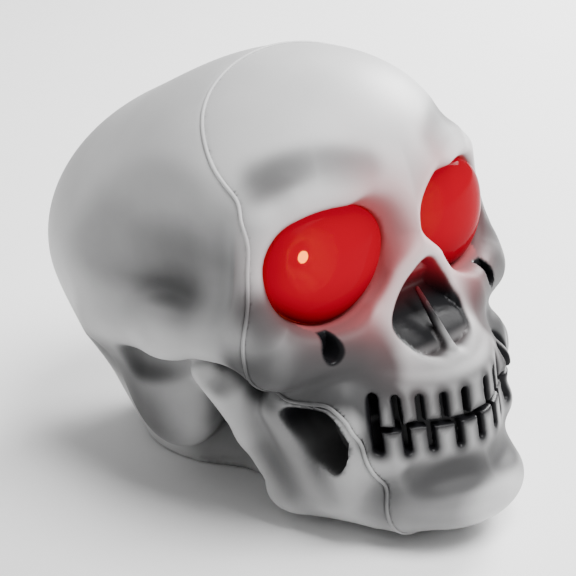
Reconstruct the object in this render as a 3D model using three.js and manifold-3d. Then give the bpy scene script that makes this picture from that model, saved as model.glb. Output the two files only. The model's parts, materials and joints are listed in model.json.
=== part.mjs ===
// Skull decoration with lit red eyes: two moulded half shells, lamps behind domed lenses, a battery base.
// Millimetres. +Z is up, the face looks along -Y, and the skull stands on Z = 0.
import * as THREE from 'three';
import { mergeVertices } from 'three/addons/utils/BufferGeometryUtils.js';
import Module from 'manifold-3d';

const wasm = await Module();
wasm.setup();

// Shells
const WALL = 2.4;
const CLEARANCE = 0.3;
const SEAM_GAP = 0.3;
const TONGUE_THICKNESS = 1.5;
const TONGUE_REACH = 4;
const TONGUE_LOWEST = 104;
const OUTER_SEGMENTS = 10;
const INNER_SEGMENTS = 5;
const FACE_CROWDING = 0.3;
const JAW_CROWDING = 0.33;
const EVENING_ROUNDS = 4;

// Eyes: an egg outline on a plane facing forward, outward and a little up. The socket flares to the bridge.
const EYE_SPACING = 60.4;
const EYE_FRONT = 45.4;
const EYE_UP = 93.2;
const EYE_WIDTH = 44.4;
const EYE_HEIGHT = 37;
const EYE_TURN = THREE.MathUtils.degToRad(9);
const EYE_TILT = THREE.MathUtils.degToRad(6);
const EYE_LEAN = 0.08;
const EYE_SPREAD = 0.006;
const EYE_SQUARENESS = 2.1;
const EYE_SEGMENTS = 16;
const SOCKET_WALL = 2;
const SOCKET_FLARE = 0.7;
const SOCKET_RISE = 10;
const SEAT_DEPTH = 6;
const LENS_WALL = 1.8;
const LENS_EDGE_DEPTH = 2;
const LENS_BULGE = 7.5;
const LENS_FLANGE = 3;
const LENS_FLANGE_THICKNESS = 1.6;

// Lamps
const CUP_PLATE = 2;
const CUP_MOUTH_RADIUS = 11;
const CUP_DEPTH = 6;
const CUP_WALL = 1.5;
const CUP_COLLAR = 4;
const EAR_INNER = -11;
const EAR_OUTER = 6;
const HOOK_HALF_WIDTH = 4;
const HOOK_THICKNESS = 1.6;
const HOOK_LIP = 1.5;
const LED_RADIUS = 2.5;
const LED_LENGTH = 8.6;
const LED_RIM_RADIUS = 2.9;
const LED_RIM_THICKNESS = 1;
const LED_LEAD_LENGTH = 8;
const LED_LEAD_WIDTH = 0.5;
const LED_LEAD_SPACING = 2.54;

// Screws
const SCREW_RADIUS = 1.1;
const SCREW_LENGTH = 8;
const SCREW_HEAD_RADIUS = 2.3;
const SCREW_HEAD_HEIGHT = 1.5;
const BOSS_RADIUS = 3.4;

// Mouth
const ARCH_HALF_WIDTH = 34;
const ARCH_LENGTH = 41;
const ARCH_FRONT = 44;
const BITE_UP = 48;
const BITE_DROOP = 6;
const BITE_OPENING = 2.2;
const MOUTH_CORNER = 58;
const TOOTH_GAP = 3;
const CORNER_GAP = 4;
const TOOTH_RELIEF = 2.6;
const UPPER_TOOTH = 9;
const LOWER_TOOTH = 9.5;
const UPPER_GAPS = [0, 21.5, 34.5, 46];
const LOWER_GAPS = [0, 13.5, 27.5, 42.5];

// Nose, cheek recesses and the small holes under the eyes
const NOSE_DEPTH = 9;
const NOSE_TAPER = 5;
const NOSE_SEGMENTS = 4;
const CHEEK_DEPTH = 13;
const FORAMEN_DEPTH = 5;

// Battery base
const CELL_DIAMETER = 14.2;
const CELL_LENGTH = 49.2;
const CELL_NUB_RADIUS = 2.7;
const CELL_NUB_LENGTH = 1.3;
const CELL_PLAY = 0.8;
const BOX_CENTRE = -9;
const BOX_WALL = 1.6;
const BOX_EAR = 4;
const BOX_DIVIDER = 2;
const CONTACT_THICKNESS = 0.5;
const CONTACT_WIDTH = 10;
const TAG_WIDTH = 2.4;
const TAG_REACH = 2;
const SPRING_LENGTH = 5;
const SPRING_WIRE_RADIUS = 0.35;
const SPRING_TURNS = 3;
const SPRING_WIDE_RADIUS = 4.8;
const SPRING_NARROW_RADIUS = 2.6;
const DOOR_THICKNESS = 2;
const DOOR_RECESS = 0.4;
const DOOR_SIDE_GAP = 0.35;
const DOOR_HINGE_GAP = 0.8;
const HINGE_PIN_RADIUS = 0.9;
const HINGE_PIN_LENGTH = 2.2;
const HINGE_KNUCKLE_RADIUS = 1.6;
const HINGE_HALF_WIDTH = 9;
const HINGE_CHEEK = 3.4;
const CATCH_HALF_WIDTH = 4.5;
const CATCH_REACH = 4.5;
const FINGER_NOTCH = 5;

// Switch and circuit board
const SWITCH_FRONT = 40;
const SWITCH_TRAVEL = 4;
const SWITCH_POCKET_DEPTH = 2.6;
const SWITCH_POCKET_HALF_WIDTH = 4;
const SWITCH_WEB = 1.6;
const SWITCH_BODY_HEIGHT = 5;
const SWITCH_BODY_WALL = 1;
const KNOB_HALF_LENGTH = 2.4;
const KNOB_HALF_WIDTH = 2.2;
const KNOB_STEM_HALF_WIDTH = 1.3;
const KNOB_RECESS = 0.8;
const BOARD_WIDTH = 34;
const BOARD_LENGTH = 26;
const BOARD_THICKNESS = 1.6;
const BOARD_POST_SIDE = 12;
const BOARD_POST_FRONT = 53;
const CHIP_RADIUS = 4;
const CHIP_HEIGHT = 1.6;
const RESISTOR_RADIUS = 1;
const RESISTOR_LENGTH = 6;
const CABLE_WIDTH = 2.4;
const CABLE_THICKNESS = 1.2;
const LEAD_DIAMETER = 1.3;

// Screws that hold the two shells together, under the jaw
const SHELL_SCREW_SIDE = 14;
const SHELL_SCREW_FRONT = 65;
const SHELL_SCREW_PAD_RADIUS = 5.4;
const SHELL_SCREW_PAD_TOP = 7;
const SHELL_TAB_THICKNESS = 3;
const SHELL_TAB_REACH = 19;

// Finishes
const finish = (color, roughness, metalness = 0) => (
  new THREE.MeshStandardMaterial({ color, roughness, metalness })
);
const BONE = finish(0xd4d3d2, 0.42);
const RED_LENS = finish(0xb8070c, 0.12);
const WHITE_PLASTIC = finish(0xe6e6e2, 0.5);
const LED_RED = finish(0xd8201c, 0.2);
const STEEL = finish(0xa8abad, 0.35, 1);
const BLACK_PLASTIC = finish(0x1c1c1e, 0.55);
const CELL_JACKET = finish(0x3b4046, 0.4);
const BOARD_GREEN = finish(0x1f5a35, 0.5);
const TAN_RESISTOR = finish(0xc9a46d, 0.55);
const RED_WIRE = finish(0xa81c1c, 0.5);
const BLACK_WIRE = finish(0x202022, 0.5);

// Solids

function closedGeometry(geometry) {
  const bare = geometry.clone();
  bare.deleteAttribute('normal');
  bare.deleteAttribute('uv');
  const merged = mergeVertices(bare, 1e-4);
  const corners = merged.index.array;
  const kept = [];
  for (let k = 0; k < corners.length; k += 3) {
    const [a, b, c] = [corners[k], corners[k + 1], corners[k + 2]];
    if (a !== b && b !== c && c !== a) kept.push(a, b, c);
  }
  merged.setIndex(kept);
  return merged;
}

function solid(geometry) {
  const merged = closedGeometry(geometry);
  const mesh = new wasm.Mesh({
    numProp: 3,
    vertProperties: new Float32Array(merged.attributes.position.array),
    triVerts: new Uint32Array(merged.index.array),
  });
  return new wasm.Manifold(mesh);
}

function geometryOf(body) {
  const mesh = body.getMesh();
  const geometry = new THREE.BufferGeometry();
  geometry.setAttribute('position', new THREE.BufferAttribute(new Float32Array(mesh.vertProperties), 3));
  geometry.setIndex(Array.from(mesh.triVerts));
  return geometry;
}

const joined = (bodies) => bodies.reduce((sum, body) => sum.add(body));

// A cut can leave slivers beside the moulding; the moulding is the largest body.
function largestBody(body) {
  const bodies = body.decompose();
  return bodies.reduce((best, one) => (one.volume() > best.volume() ? one : best));
}

function flipped(geometry) {
  const corners = geometry.index.array;
  for (let k = 0; k < corners.length; k += 3) {
    [corners[k], corners[k + 1]] = [corners[k + 1], corners[k]];
  }
  return geometry;
}

const mirrored = (geometry) => flipped(closedGeometry(geometry).scale(-1, 1, 1));

const bothSides = (geometry) => [solid(geometry), solid(mirrored(geometry))];

const around = (middle, half) => [middle - half, middle + half];

// Places are given as side (x), front (towards the face, -y) and up (z).
const place = (side, front, up) => new THREE.Vector3(side, -front, up);

function block([side0, side1], [front0, front1], [up0, up1]) {
  const box = new THREE.BoxGeometry(side1 - side0, front1 - front0, up1 - up0);
  return box.translate((side0 + side1) / 2, -(front0 + front1) / 2, (up0 + up1) / 2);
}

function post(side, front, radius, [up0, up1], sides = 10) {
  const cylinder = new THREE.CylinderGeometry(radius, radius, up1 - up0, sides).rotateX(Math.PI / 2);
  return cylinder.translate(side, -front, (up0 + up1) / 2);
}

function crossBar(radius, [side0, side1], front, up, sides = 8) {
  const cylinder = new THREE.CylinderGeometry(radius, radius, side1 - side0, sides).rotateZ(Math.PI / 2);
  return cylinder.translate((side0 + side1) / 2, -front, up);
}

// An outline in the front view (side, up), swept from front0 to front1.
function frontPrism(outline, front0, front1, curveSegments = 5) {
  const sweep = { depth: front1 - front0, bevelEnabled: false, curveSegments };
  const prism = new THREE.ExtrudeGeometry(outline, sweep);
  return prism.translate(0, 0, front0).rotateX(Math.PI / 2);
}

// An outline in the side view (front, up), swept from side0 to side1.
function sidePrism(outline, side0, side1, curveSegments = 5) {
  const sweep = { depth: side1 - side0, bevelEnabled: false, curveSegments };
  const prism = new THREE.ExtrudeGeometry(outline, sweep);
  const turn = new THREE.Matrix4().makeBasis(place(0, 1, 0), place(0, 0, 1), place(-1, 0, 0));
  return prism.translate(0, 0, -side1).applyMatrix4(turn);
}

// A closed skin through rings of points, each ring seen counter-clockwise from the end that it leads to.
function loft(rings) {
  const count = rings[0].length;
  const positions = rings.flat().flatMap((point) => point.toArray());
  const corners = [];
  for (let r = 0; r + 1 < rings.length; r += 1) {
    for (let k = 0; k < count; k += 1) {
      const here = r * count + k;
      const next = r * count + ((k + 1) % count);
      corners.push(here, next, next + count, here, next + count, here + count);
    }
  }
  const last = (rings.length - 1) * count;
  for (let k = 1; k + 1 < count; k += 1) {
    corners.push(0, k + 1, k);
    corners.push(last, last + k, last + k + 1);
  }
  const geometry = new THREE.BufferGeometry();
  geometry.setAttribute('position', new THREE.Float32BufferAttribute(positions, 3));
  geometry.setIndex(corners);
  return geometry;
}

function lathe(profile, sides) {
  return new THREE.LatheGeometry(profile.map(([radius, along]) => new THREE.Vector2(radius, along)), sides)
    .rotateX(Math.PI / 2);
}

// Form of the skull: lobes blended into each other, in (side, front, up), the same on both sides

function blend(a, b, radius) {
  const share = THREE.MathUtils.clamp(0.5 + (0.5 * (b - a)) / radius, 0, 1);
  return b + (a - b) * share - radius * share * (1 - share);
}

const carve = (a, b, radius) => -blend(-a, b, radius);

function egg(point, centre, radii, pitch = 0) {
  const turn = THREE.MathUtils.degToRad(pitch);
  const side = point[0] - centre[0];
  const front = point[1] - centre[1];
  const up = point[2] - centre[2];
  const along = Math.cos(turn) * front + Math.sin(turn) * up;
  const above = Math.cos(turn) * up - Math.sin(turn) * front;
  const near = Math.hypot(side / radii[0], along / radii[1], above / radii[2]);
  const slope = Math.hypot(side / radii[0] ** 2, along / radii[1] ** 2, above / radii[2] ** 2);
  return (near * (near - 1)) / Math.max(slope, 1e-9);
}

function limb(point, start, end, startRadius, endRadius) {
  const axis = [end[0] - start[0], end[1] - start[1], end[2] - start[2]];
  const from = [point[0] - start[0], point[1] - start[1], point[2] - start[2]];
  const reach = axis[0] ** 2 + axis[1] ** 2 + axis[2] ** 2;
  const run = (from[0] * axis[0] + from[1] * axis[1] + from[2] * axis[2]) / reach;
  const share = THREE.MathUtils.clamp(run, 0, 1);
  const away = Math.hypot(from[0] - share * axis[0], from[1] - share * axis[1], from[2] - share * axis[2]);
  return away - startRadius - (endRadius - startRadius) * share;
}

function dentalArch([side, front, up]) {
  const ring = (Math.hypot(side / ARCH_HALF_WIDTH, (front - ARCH_FRONT) / ARCH_LENGTH) - 1) * ARCH_HALF_WIDTH;
  return carve(ring, 16 - Math.abs(up - 42), 4);
}

// The large lobes, which the hollow inside follows too
function headForm(p) {
  let form = egg(p, [0, -26, 83], [61, 70, 52], 20); // cranium
  form = blend(form, egg(p, [0, 7, 107], [54, 46, 43]), 20); // forehead
  form = blend(form, limb(p, [0, -34, 46], [0, -24, 0], 46, 28), 14); // back of the head, down to the neck
  form = blend(form, egg(p, [0, 22, 78], [53, 38, 34]), 14); // middle of the face
  form = blend(form, egg(p, [0, 40, 54], [38, 36, 24]), 10); // upper jaw
  form = blend(form, egg(p, [0, 46, 22], [34, 38, 20]), 8); // lower jaw
  form = blend(form, egg(p, [0, 70, 16], [29, 26, 14]), 8); // chin
  const core = Math.max(p[0] - 22, Math.abs(p[1] - 14) - 46, p[2] - 40); // above the battery base
  return blend(form, core, 6);
}

function sunken(form, p) {
  const temple = egg(p, [70, -6, 93], [19, 38, 27], 12);
  const lipGroove = limb(p, [0, 94.5, 31], [25, 82.5, 31], 5, 5); // under the teeth
  return carve(carve(form, temple, 6), lipGroove, 6);
}

function hollowForm(side, front, up) {
  const p = [Math.abs(side), front, up];
  return sunken(headForm(p), p);
}

function skullForm(side, front, up) {
  const p = [Math.abs(side), front, up];
  let form = sunken(headForm(p), p);
  form = blend(form, limb(p, [28, 51, 67], [50, 43, 67], 10, 10), 9); // cheekbone
  form = blend(form, limb(p, [54, 36, 71], [57.5, 0, 65], 7.5, 6.5), 9); // cheek arch, front
  form = blend(form, limb(p, [57.5, 0, 65], [51, -36, 58], 6.5, 8.5), 12); // cheek arch, rear
  form = blend(form, limb(p, [8, 42, 112], [38, 36, 113], 8, 6.5), 10); // brow
  form = blend(form, limb(p, [48, 33, 108], [55, 36, 76], 6, 6), 8); // outer rim of the eye
  form = blend(form, limb(p, [0, 44, 105], [0, 53, 90], 5, 5.5), 9); // bridge of the nose
  form = blend(form, dentalArch(p), 6);
  form = blend(form, limb(p, [37, 29, 13], [49, 8, 52], 7, 7), 8); // jaw plate, from its rear edge forward
  form = blend(form, limb(p, [36, 40, 14], [46, 22, 50], 6, 6), 6);
  form = blend(form, limb(p, [35, 50, 16], [44, 38, 46], 6.5, 6.5), 6);
  form = blend(form, limb(p, [34, 60, 18], [39, 56, 44], 6, 6), 6);
  form = blend(form, limb(p, [32, 32, 11], [20, 68, 14], 9, 10), 7); // lower edge of the jaw
  form = blend(form, egg(p, [41, -9, 37], [10, 12, 20]), 10); // bulge behind the ear
  form = carve(form, limb(p, [57, 30, 54], [56, 17, 52], 6, 6), 8); // under the cheek arch, at the jaw
  return carve(form, limb(p, [61, 0, 47], [63, -26, 41], 8, 8), 12); // and behind it
}

// The skin at a depth under a form's surface, seen from a point in the middle of the head. The rays crowd
// towards the face and the jaw, where the form is finest.
const HEAD_MIDDLE = [0, 8, 72];
const HEAD_REACH = 160;
const FLOOR_BELOW = 200;

function skin(form, depth, detail) {
  const ball = closedGeometry(new THREE.IcosahedronGeometry(1, detail));
  const points = ball.attributes.position;
  const ray = new THREE.Vector3();
  for (let k = 0; k < points.count; k += 1) {
    ray.fromBufferAttribute(points, k);
    ray.y -= FACE_CROWDING;
    ray.z -= JAW_CROWDING;
    ray.normalize();
    let reach = HEAD_REACH;
    let away = Infinity;
    while (away > 0.005 && reach > 1) {
      const out = [ray.x, -ray.y, ray.z];
      const [side, front, up] = HEAD_MIDDLE.map((middle, axis) => middle + reach * out[axis]);
      away = form(side, front, up) + depth;
      reach -= Math.max(0.75 * away, 0.004);
    }
    points.setXYZ(k, reach * ray.x, reach * ray.y - HEAD_MIDDLE[1], reach * ray.z + HEAD_MIDDLE[2]);
  }
  return ball;
}

// Slides the points of a skin along the form towards the middle of their neighbours, so that they also spread
// over the faces that the rays only graze.
function evened(ball, form) {
  const points = ball.attributes.position;
  const corners = ball.index.array;
  const sums = new Float64Array(points.count * 4);
  const here = new THREE.Vector3();
  const slope = new THREE.Vector3();
  const height = (v) => form(v.x, -v.y, v.z);
  const nudge = 0.2;
  const axes = [[nudge, 0, 0], [0, nudge, 0], [0, 0, nudge]].map((values) => new THREE.Vector3(...values));
  const rise = (v, axis) => height(v.clone().add(axis)) - height(v.clone().sub(axis));
  for (let round = 0; round < EVENING_ROUNDS; round += 1) {
    sums.fill(0);
    for (let k = 0; k < corners.length; k += 1) {
      const other = corners[k % 3 === 2 ? k - 2 : k + 1];
      here.fromBufferAttribute(points, other);
      [here.x, here.y, here.z, 1].forEach((value, axis) => { sums[4 * corners[k] + axis] += value; });
    }
    for (let k = 0; k < points.count; k += 1) {
      here.fromBufferAttribute(points, k);
      const middle = new THREE.Vector3().fromArray(sums, 4 * k).divideScalar(sums[4 * k + 3]);
      here.lerp(middle, 0.5);
      for (let step = 0; step < 4; step += 1) {
        slope.fromArray(axes.map((axis) => rise(here, axis) / (2 * nudge)));
        here.addScaledVector(slope, -height(here) / Math.max(slope.lengthSq(), 0.2));
      }
      points.setXYZ(k, here.x, here.y, here.z);
    }
  }
  return ball;
}

const everywhere = [-HEAD_REACH, HEAD_REACH];

const above = (up, ball) => solid(ball).subtract(solid(block(everywhere, everywhere, [-FLOOR_BELOW, up])));
const hollow = (depth) => above(depth, skin(hollowForm, depth, INNER_SEGMENTS));

const TONGUE_DEPTH = WALL + CLEARANCE + TONGUE_THICKNESS;
const outerSkin = above(0, evened(skin(skullForm, 0, OUTER_SEGMENTS), skullForm));
const cavity = hollow(WALL);
const clearCavity = hollow(WALL + CLEARANCE);
const tongueCavity = hollow(TONGUE_DEPTH);
const lampCavity = hollow(TONGUE_DEPTH + CLEARANCE);
const wall = outerSkin.subtract(cavity);

// Seam: over the crown, down behind the outer rim of the eye, under the cheek and down the side of the jaw
const SEAM_HIGH = 175;
const SEAM_LOW = -20;
const seamPath = new THREE.CatmullRomCurve3([
  place(0, -28, SEAM_HIGH),
  place(0, -8, 144),
  place(0, 12, 126),
  place(0, 32, 109),
  place(0, 36, 94),
  place(0, 40, 72),
  place(0, 37, 56),
  place(0, 44, 50),
  place(0, 54, 51.5),
  place(0, 61, 46),
  place(0, 64, 33),
  place(0, 70, 18),
  place(0, 76, SEAM_LOW),
]);

function inFrontOfSeam(shift) {
  const outline = new THREE.Shape();
  const steps = 24;
  seamPath.getSpacedPoints(steps).forEach((point, k) => {
    const [front, up] = [-point.y - shift, point.z - shift];
    if (k === 0) outline.moveTo(front, up);
    else outline.lineTo(front, up);
  });
  outline.lineTo(HEAD_REACH, SEAM_LOW - shift);
  outline.lineTo(HEAD_REACH, SEAM_HIGH - shift);
  return solid(sidePrism(outline, -HEAD_REACH, HEAD_REACH));
}

const frontHalf = inFrontOfSeam(0);
const frontHalfAndGap = inFrontOfSeam(SEAM_GAP);

// Where a feature of the face, and one of the cranium, may stand: in its own wall or clear inside the other's
const faceRoom = outerSkin.intersect(frontHalf).add(clearCavity);
const craniumRoom = outerSkin.subtract(frontHalfAndGap).add(clearCavity);

// Eyes: each has its own frame, with its outline in local x and y and its outward direction along local z

function eyeFrame(hand) {
  const frame = new THREE.Group();
  frame.position.copy(place((hand * EYE_SPACING) / 2, EYE_FRONT, EYE_UP));
  frame.rotation.set(Math.PI / 2 - EYE_TILT, 0, hand * EYE_TURN, 'ZYX');
  frame.updateMatrix();
  return frame;
}

// Hand is 1 on the skull's left and -1 on its right, so that local x points outward on both.
function eyeOutline(hand, grow, share = 1) {
  const points = [];
  const power = 2 / EYE_SQUARENESS;
  for (let k = 0; k < EYE_SEGMENTS; k += 1) {
    const turn = (2 * Math.PI * k) / EYE_SEGMENTS;
    const across = Math.sign(Math.cos(turn)) * Math.abs(Math.cos(turn)) ** power;
    const high = Math.sign(Math.sin(turn)) * Math.abs(Math.sin(turn)) ** power;
    const y = share * (EYE_HEIGHT / 2 + grow) * high;
    const x = share * (EYE_WIDTH / 2 + grow) * across * (1 + EYE_SPREAD * y) - EYE_LEAN * y;
    points.push(new THREE.Vector2(hand * x, y));
  }
  return hand > 0 ? points : points.reverse();
}

function eyePrism(hand, grow, low, high, holes = []) {
  const outline = new THREE.Shape(eyeOutline(hand, grow));
  outline.holes = holes;
  return new THREE.ExtrudeGeometry(outline, { depth: high - low, bevelEnabled: false }).translate(0, 0, low);
}

// The room of a socket, whose upper inner side leans back from the bridge of the nose
function socket(hand, grow, low) {
  const ring = (outward) => eyeOutline(hand, grow).map((point) => {
    const upper = THREE.MathUtils.smoothstep(point.y, -6, 6);
    const inner = THREE.MathUtils.smoothstep(-hand * point.x, 4, 16);
    const flare = SOCKET_FLARE * Math.min(Math.max(outward, 0), SOCKET_RISE) * upper * inner;
    const flared = point.clone().multiplyScalar(1 + flare / point.length());
    return new THREE.Vector3(flared.x, flared.y, outward);
  });
  return loft([low, 0, SOCKET_RISE, EYE_REACH].map(ring));
}

function rod(x, y, radius, low, high, sides = 8) {
  const cylinder = new THREE.CylinderGeometry(radius, radius, high - low, sides).rotateX(Math.PI / 2);
  return cylinder.translate(x, y, (low + high) / 2);
}

const FLANGE_FRONT = -SEAT_DEPTH - CLEARANCE;
const FLANGE_BACK = FLANGE_FRONT - LENS_FLANGE_THICKNESS;
const PLATE_FRONT = FLANGE_BACK - CLEARANCE;
const PLATE_BACK = PLATE_FRONT - CUP_PLATE;
const CONE_BACK = PLATE_BACK - CUP_DEPTH;
const COLLAR_BACK = CONE_BACK - CUP_COLLAR;
const LED_SEAT = COLLAR_BACK - CLEARANCE;
const EAR_DOWN = EYE_HEIGHT / 2 + LENS_FLANGE + BOSS_RADIUS + 2 * CLEARANCE;
const EAR_RADIUS = BOSS_RADIUS + CUP_WALL / 2;
const HOOK_UP = EYE_HEIGHT / 2 + LENS_FLANGE;
const SCREW_HOLE_RADIUS = SCREW_RADIUS + CLEARANCE;
const EYE_REACH = 40;
const earPlaces = (hand) => [EAR_INNER, EAR_OUTER].map((across) => [hand * across, -EAR_DOWN]);

const bar = ([x0, x1], [y0, y1], [z0, z1]) => new THREE.BoxGeometry(x1 - x0, y1 - y0, z1 - z0)
  .translate((x0 + x1) / 2, (y0 + y1) / 2, (z0 + z1) / 2);

// A domed cup: the dome and its skirt outside, the flange, and the same shape a wall thinner inside.
function lensGeometry(hand) {
  const at = (grow, share, z) => eyeOutline(hand, grow, share)
    .map((point) => new THREE.Vector3(point.x, point.y, z));
  const dome = (grow, share, lift) => at(grow, share, lift * Math.sqrt(1 - share ** 2) - LENS_EDGE_DEPTH);
  const inside = [0.04, 0.6, 1];
  const outside = [1, 0.9, 0.7, 0.4, 0.04];
  return loft([
    ...inside.map((share) => dome(-LENS_WALL, share, LENS_BULGE - LENS_WALL)),
    at(-LENS_WALL, 1, FLANGE_BACK),
    at(0, 1, FLANGE_BACK),
    ...outside.map((share) => dome(0, share, LENS_BULGE)),
  ]);
}

function lensFlange(hand) {
  const inner = new THREE.Path(eyeOutline(hand, -LENS_WALL / 2).reverse());
  return eyePrism(hand, LENS_FLANGE, FLANGE_BACK, FLANGE_FRONT, [inner]);
}

function cupPlate(hand) {
  const mouth = new THREE.Path().absarc(0, 0, CUP_MOUTH_RADIUS + CUP_WALL / 2, 0, 2 * Math.PI, true);
  return eyePrism(hand, LENS_FLANGE, PLATE_BACK, PLATE_FRONT, [mouth]);
}

function cupCone() {
  const bore = LED_RADIUS + CLEARANCE;
  return lathe([
    [CUP_MOUTH_RADIUS, PLATE_FRONT],
    [CUP_MOUTH_RADIUS + CUP_WALL, PLATE_FRONT],
    [CUP_MOUTH_RADIUS + CUP_WALL, PLATE_BACK],
    [bore + CUP_WALL, CONE_BACK],
    [bore + CUP_WALL, COLLAR_BACK],
    [bore, COLLAR_BACK],
    [bore, CONE_BACK],
    [CUP_MOUTH_RADIUS, PLATE_FRONT],
  ].map(([radius, along]) => [radius, -along]), 12).rotateX(Math.PI);
}

function ledGeometry() {
  const shoulder = LED_LENGTH - LED_RADIUS;
  const dome = [60, 35, 10].map((degrees) => {
    const turn = THREE.MathUtils.degToRad(degrees);
    return [LED_RADIUS * Math.cos(turn), shoulder + LED_RADIUS * Math.sin(turn)];
  });
  const bulb = lathe([
    [0, LED_LENGTH],
    ...dome,
    [LED_RADIUS, 0],
    [LED_RIM_RADIUS, 0],
    [LED_RIM_RADIUS, -LED_RIM_THICKNESS],
    [0, -LED_RIM_THICKNESS],
  ].map(([radius, along]) => [radius, -along]), 10).rotateX(Math.PI);
  const half = LED_LEAD_WIDTH / 2;
  const leads = [-1, 1].map((hand) => {
    const lead = new THREE.BoxGeometry(LED_LEAD_WIDTH, LED_LEAD_WIDTH, LED_LEAD_LENGTH + half);
    const middle = -LED_RIM_THICKNESS - (LED_LEAD_LENGTH - half) / 2;
    return solid(lead.translate((hand * LED_LEAD_SPACING) / 2, 0, middle));
  });
  return geometryOf(joined([solid(bulb), ...leads])).translate(0, 0, LED_SEAT);
}

// Driven along local +z, with the underside of the head at z = 0
function screwGeometry() {
  const profile = [
    [0, -SCREW_HEAD_HEIGHT],
    [0.6 * SCREW_HEAD_RADIUS, -SCREW_HEAD_HEIGHT],
    [SCREW_HEAD_RADIUS, -0.4 * SCREW_HEAD_HEIGHT],
    [SCREW_HEAD_RADIUS, 0],
    [SCREW_RADIUS, 0],
    [SCREW_RADIUS, SCREW_LENGTH - SCREW_RADIUS],
    [0, SCREW_LENGTH],
  ];
  return lathe(profile.map(([radius, along]) => [radius, -along]).toReversed(), 6).rotateX(Math.PI);
}

// Tooth relief: slots square to the dental arch, and a bite line that droops to the corners

function archPoint(degrees, inset, up) {
  const turn = THREE.MathUtils.degToRad(degrees);
  const side = (ARCH_HALF_WIDTH - inset) * Math.sin(turn);
  return place(side, ARCH_FRONT + (ARCH_LENGTH - inset) * Math.cos(turn), up);
}

// How far the cutters stand out of the arch
const TOOTH_CLEAR = 8;

const biteUp = (degrees) => BITE_UP - BITE_DROOP * (Math.abs(degrees) / MOUTH_CORNER) ** 3;

function toothSlot(degrees, width, low, high) {
  const half = width / 2;
  const outline = new THREE.Shape();
  outline.moveTo(half, low + half);
  outline.lineTo(half, high - half);
  outline.absarc(0, high - half, half, 0, Math.PI);
  outline.lineTo(-half, low + half);
  outline.absarc(0, low + half, half, Math.PI, 2 * Math.PI);
  const depth = TOOTH_CLEAR + TOOTH_RELIEF;
  const slot = new THREE.ExtrudeGeometry(outline, { depth, bevelEnabled: false, curveSegments: 1 });
  const heading = archPoint(degrees, 0, 0).sub(archPoint(degrees, 10, 0)).normalize();
  const turn = Math.atan2(heading.x, -heading.y);
  slot.translate(0, 0, -TOOTH_RELIEF).rotateX(Math.PI / 2).rotateZ(turn);
  const foot = archPoint(degrees, 0, biteUp(degrees));
  return slot.translate(foot.x, foot.y, foot.z);
}

function biteLine() {
  const rings = [];
  const steps = 12;
  for (let k = 0; k <= steps; k += 1) {
    const degrees = MOUTH_CORNER * ((2 * k) / steps - 1);
    const middle = biteUp(degrees);
    const half = BITE_OPENING / 2;
    rings.push([
      archPoint(degrees, TOOTH_RELIEF, middle - half),
      archPoint(degrees, TOOTH_RELIEF, middle + half),
      archPoint(degrees, -TOOTH_CLEAR, middle + half),
      archPoint(degrees, -TOOTH_CLEAR, middle - half),
    ]);
  }
  return loft(rings);
}

function mouthCuts() {
  const half = BITE_OPENING / 2;
  const slots = [
    ...UPPER_GAPS.map((degrees) => [degrees, TOOTH_GAP, -half, UPPER_TOOTH]),
    ...LOWER_GAPS.map((degrees) => [degrees, TOOTH_GAP, -LOWER_TOOTH, half]),
    [MOUTH_CORNER, CORNER_GAP, -LOWER_TOOTH, UPPER_TOOTH],
  ];
  const cuts = [solid(biteLine())];
  for (const [degrees, width, low, high] of slots) {
    cuts.push(solid(toothSlot(degrees, width, low, high)));
    if (degrees > 0) cuts.push(solid(toothSlot(-degrees, width, low, high)));
  }
  return joined(cuts);
}

// Recesses: a pear for the nose, a slanted five-sided recess under the cheek, a teardrop under the eye

function noseOutline(grow) {
  const outline = new THREE.Path();
  outline.moveTo(0, 63 - grow);
  outline.bezierCurveTo(8.5, 60.5 - grow, 16 + grow, 64, 16 + grow, 72);
  outline.bezierCurveTo(16 + grow, 80, 7 + grow, 89.5, 0, 91 + grow);
  outline.bezierCurveTo(-7 - grow, 89.5, -16 - grow, 80, -16 - grow, 72);
  outline.bezierCurveTo(-16 - grow, 64, -8.5, 60.5 - grow, 0, 63 - grow);
  return outline.getPoints(NOSE_SEGMENTS).slice(0, -1);
}

// The nose narrows from its rim to its floor.
function noseRoom(grow) {
  const ring = (front, inset) => noseOutline(grow - inset).map((point) => place(point.x, front, point.y));
  return loft([ring(NOSE_FLOOR - grow, NOSE_TAPER), ring(NOSE_RIM, 0), ring(FACE_REACH, 0)]);
}

function cheekOutline(grow) {
  const outline = new THREE.Shape();
  outline.moveTo(43.5 - grow, 47 + grow);
  outline.lineTo(55, 50 + grow);
  outline.quadraticCurveTo(59 + grow, 49.5 + grow, 60 + grow, 40);
  outline.quadraticCurveTo(60.5 + grow, 29 - grow, 56, 27 - grow);
  outline.quadraticCurveTo(51.5 - grow, 27.5 - grow, 46.5 - grow, 37 - grow);
  return outline;
}

function foramenOutline() {
  const outline = new THREE.Shape();
  outline.moveTo(38.6, 77.4);
  outline.quadraticCurveTo(43, 73, 43, 70);
  outline.quadraticCurveTo(42.5, 66.6, 40, 67);
  outline.quadraticCurveTo(36.4, 68.5, 38.6, 77.4);
  return outline;
}

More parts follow.
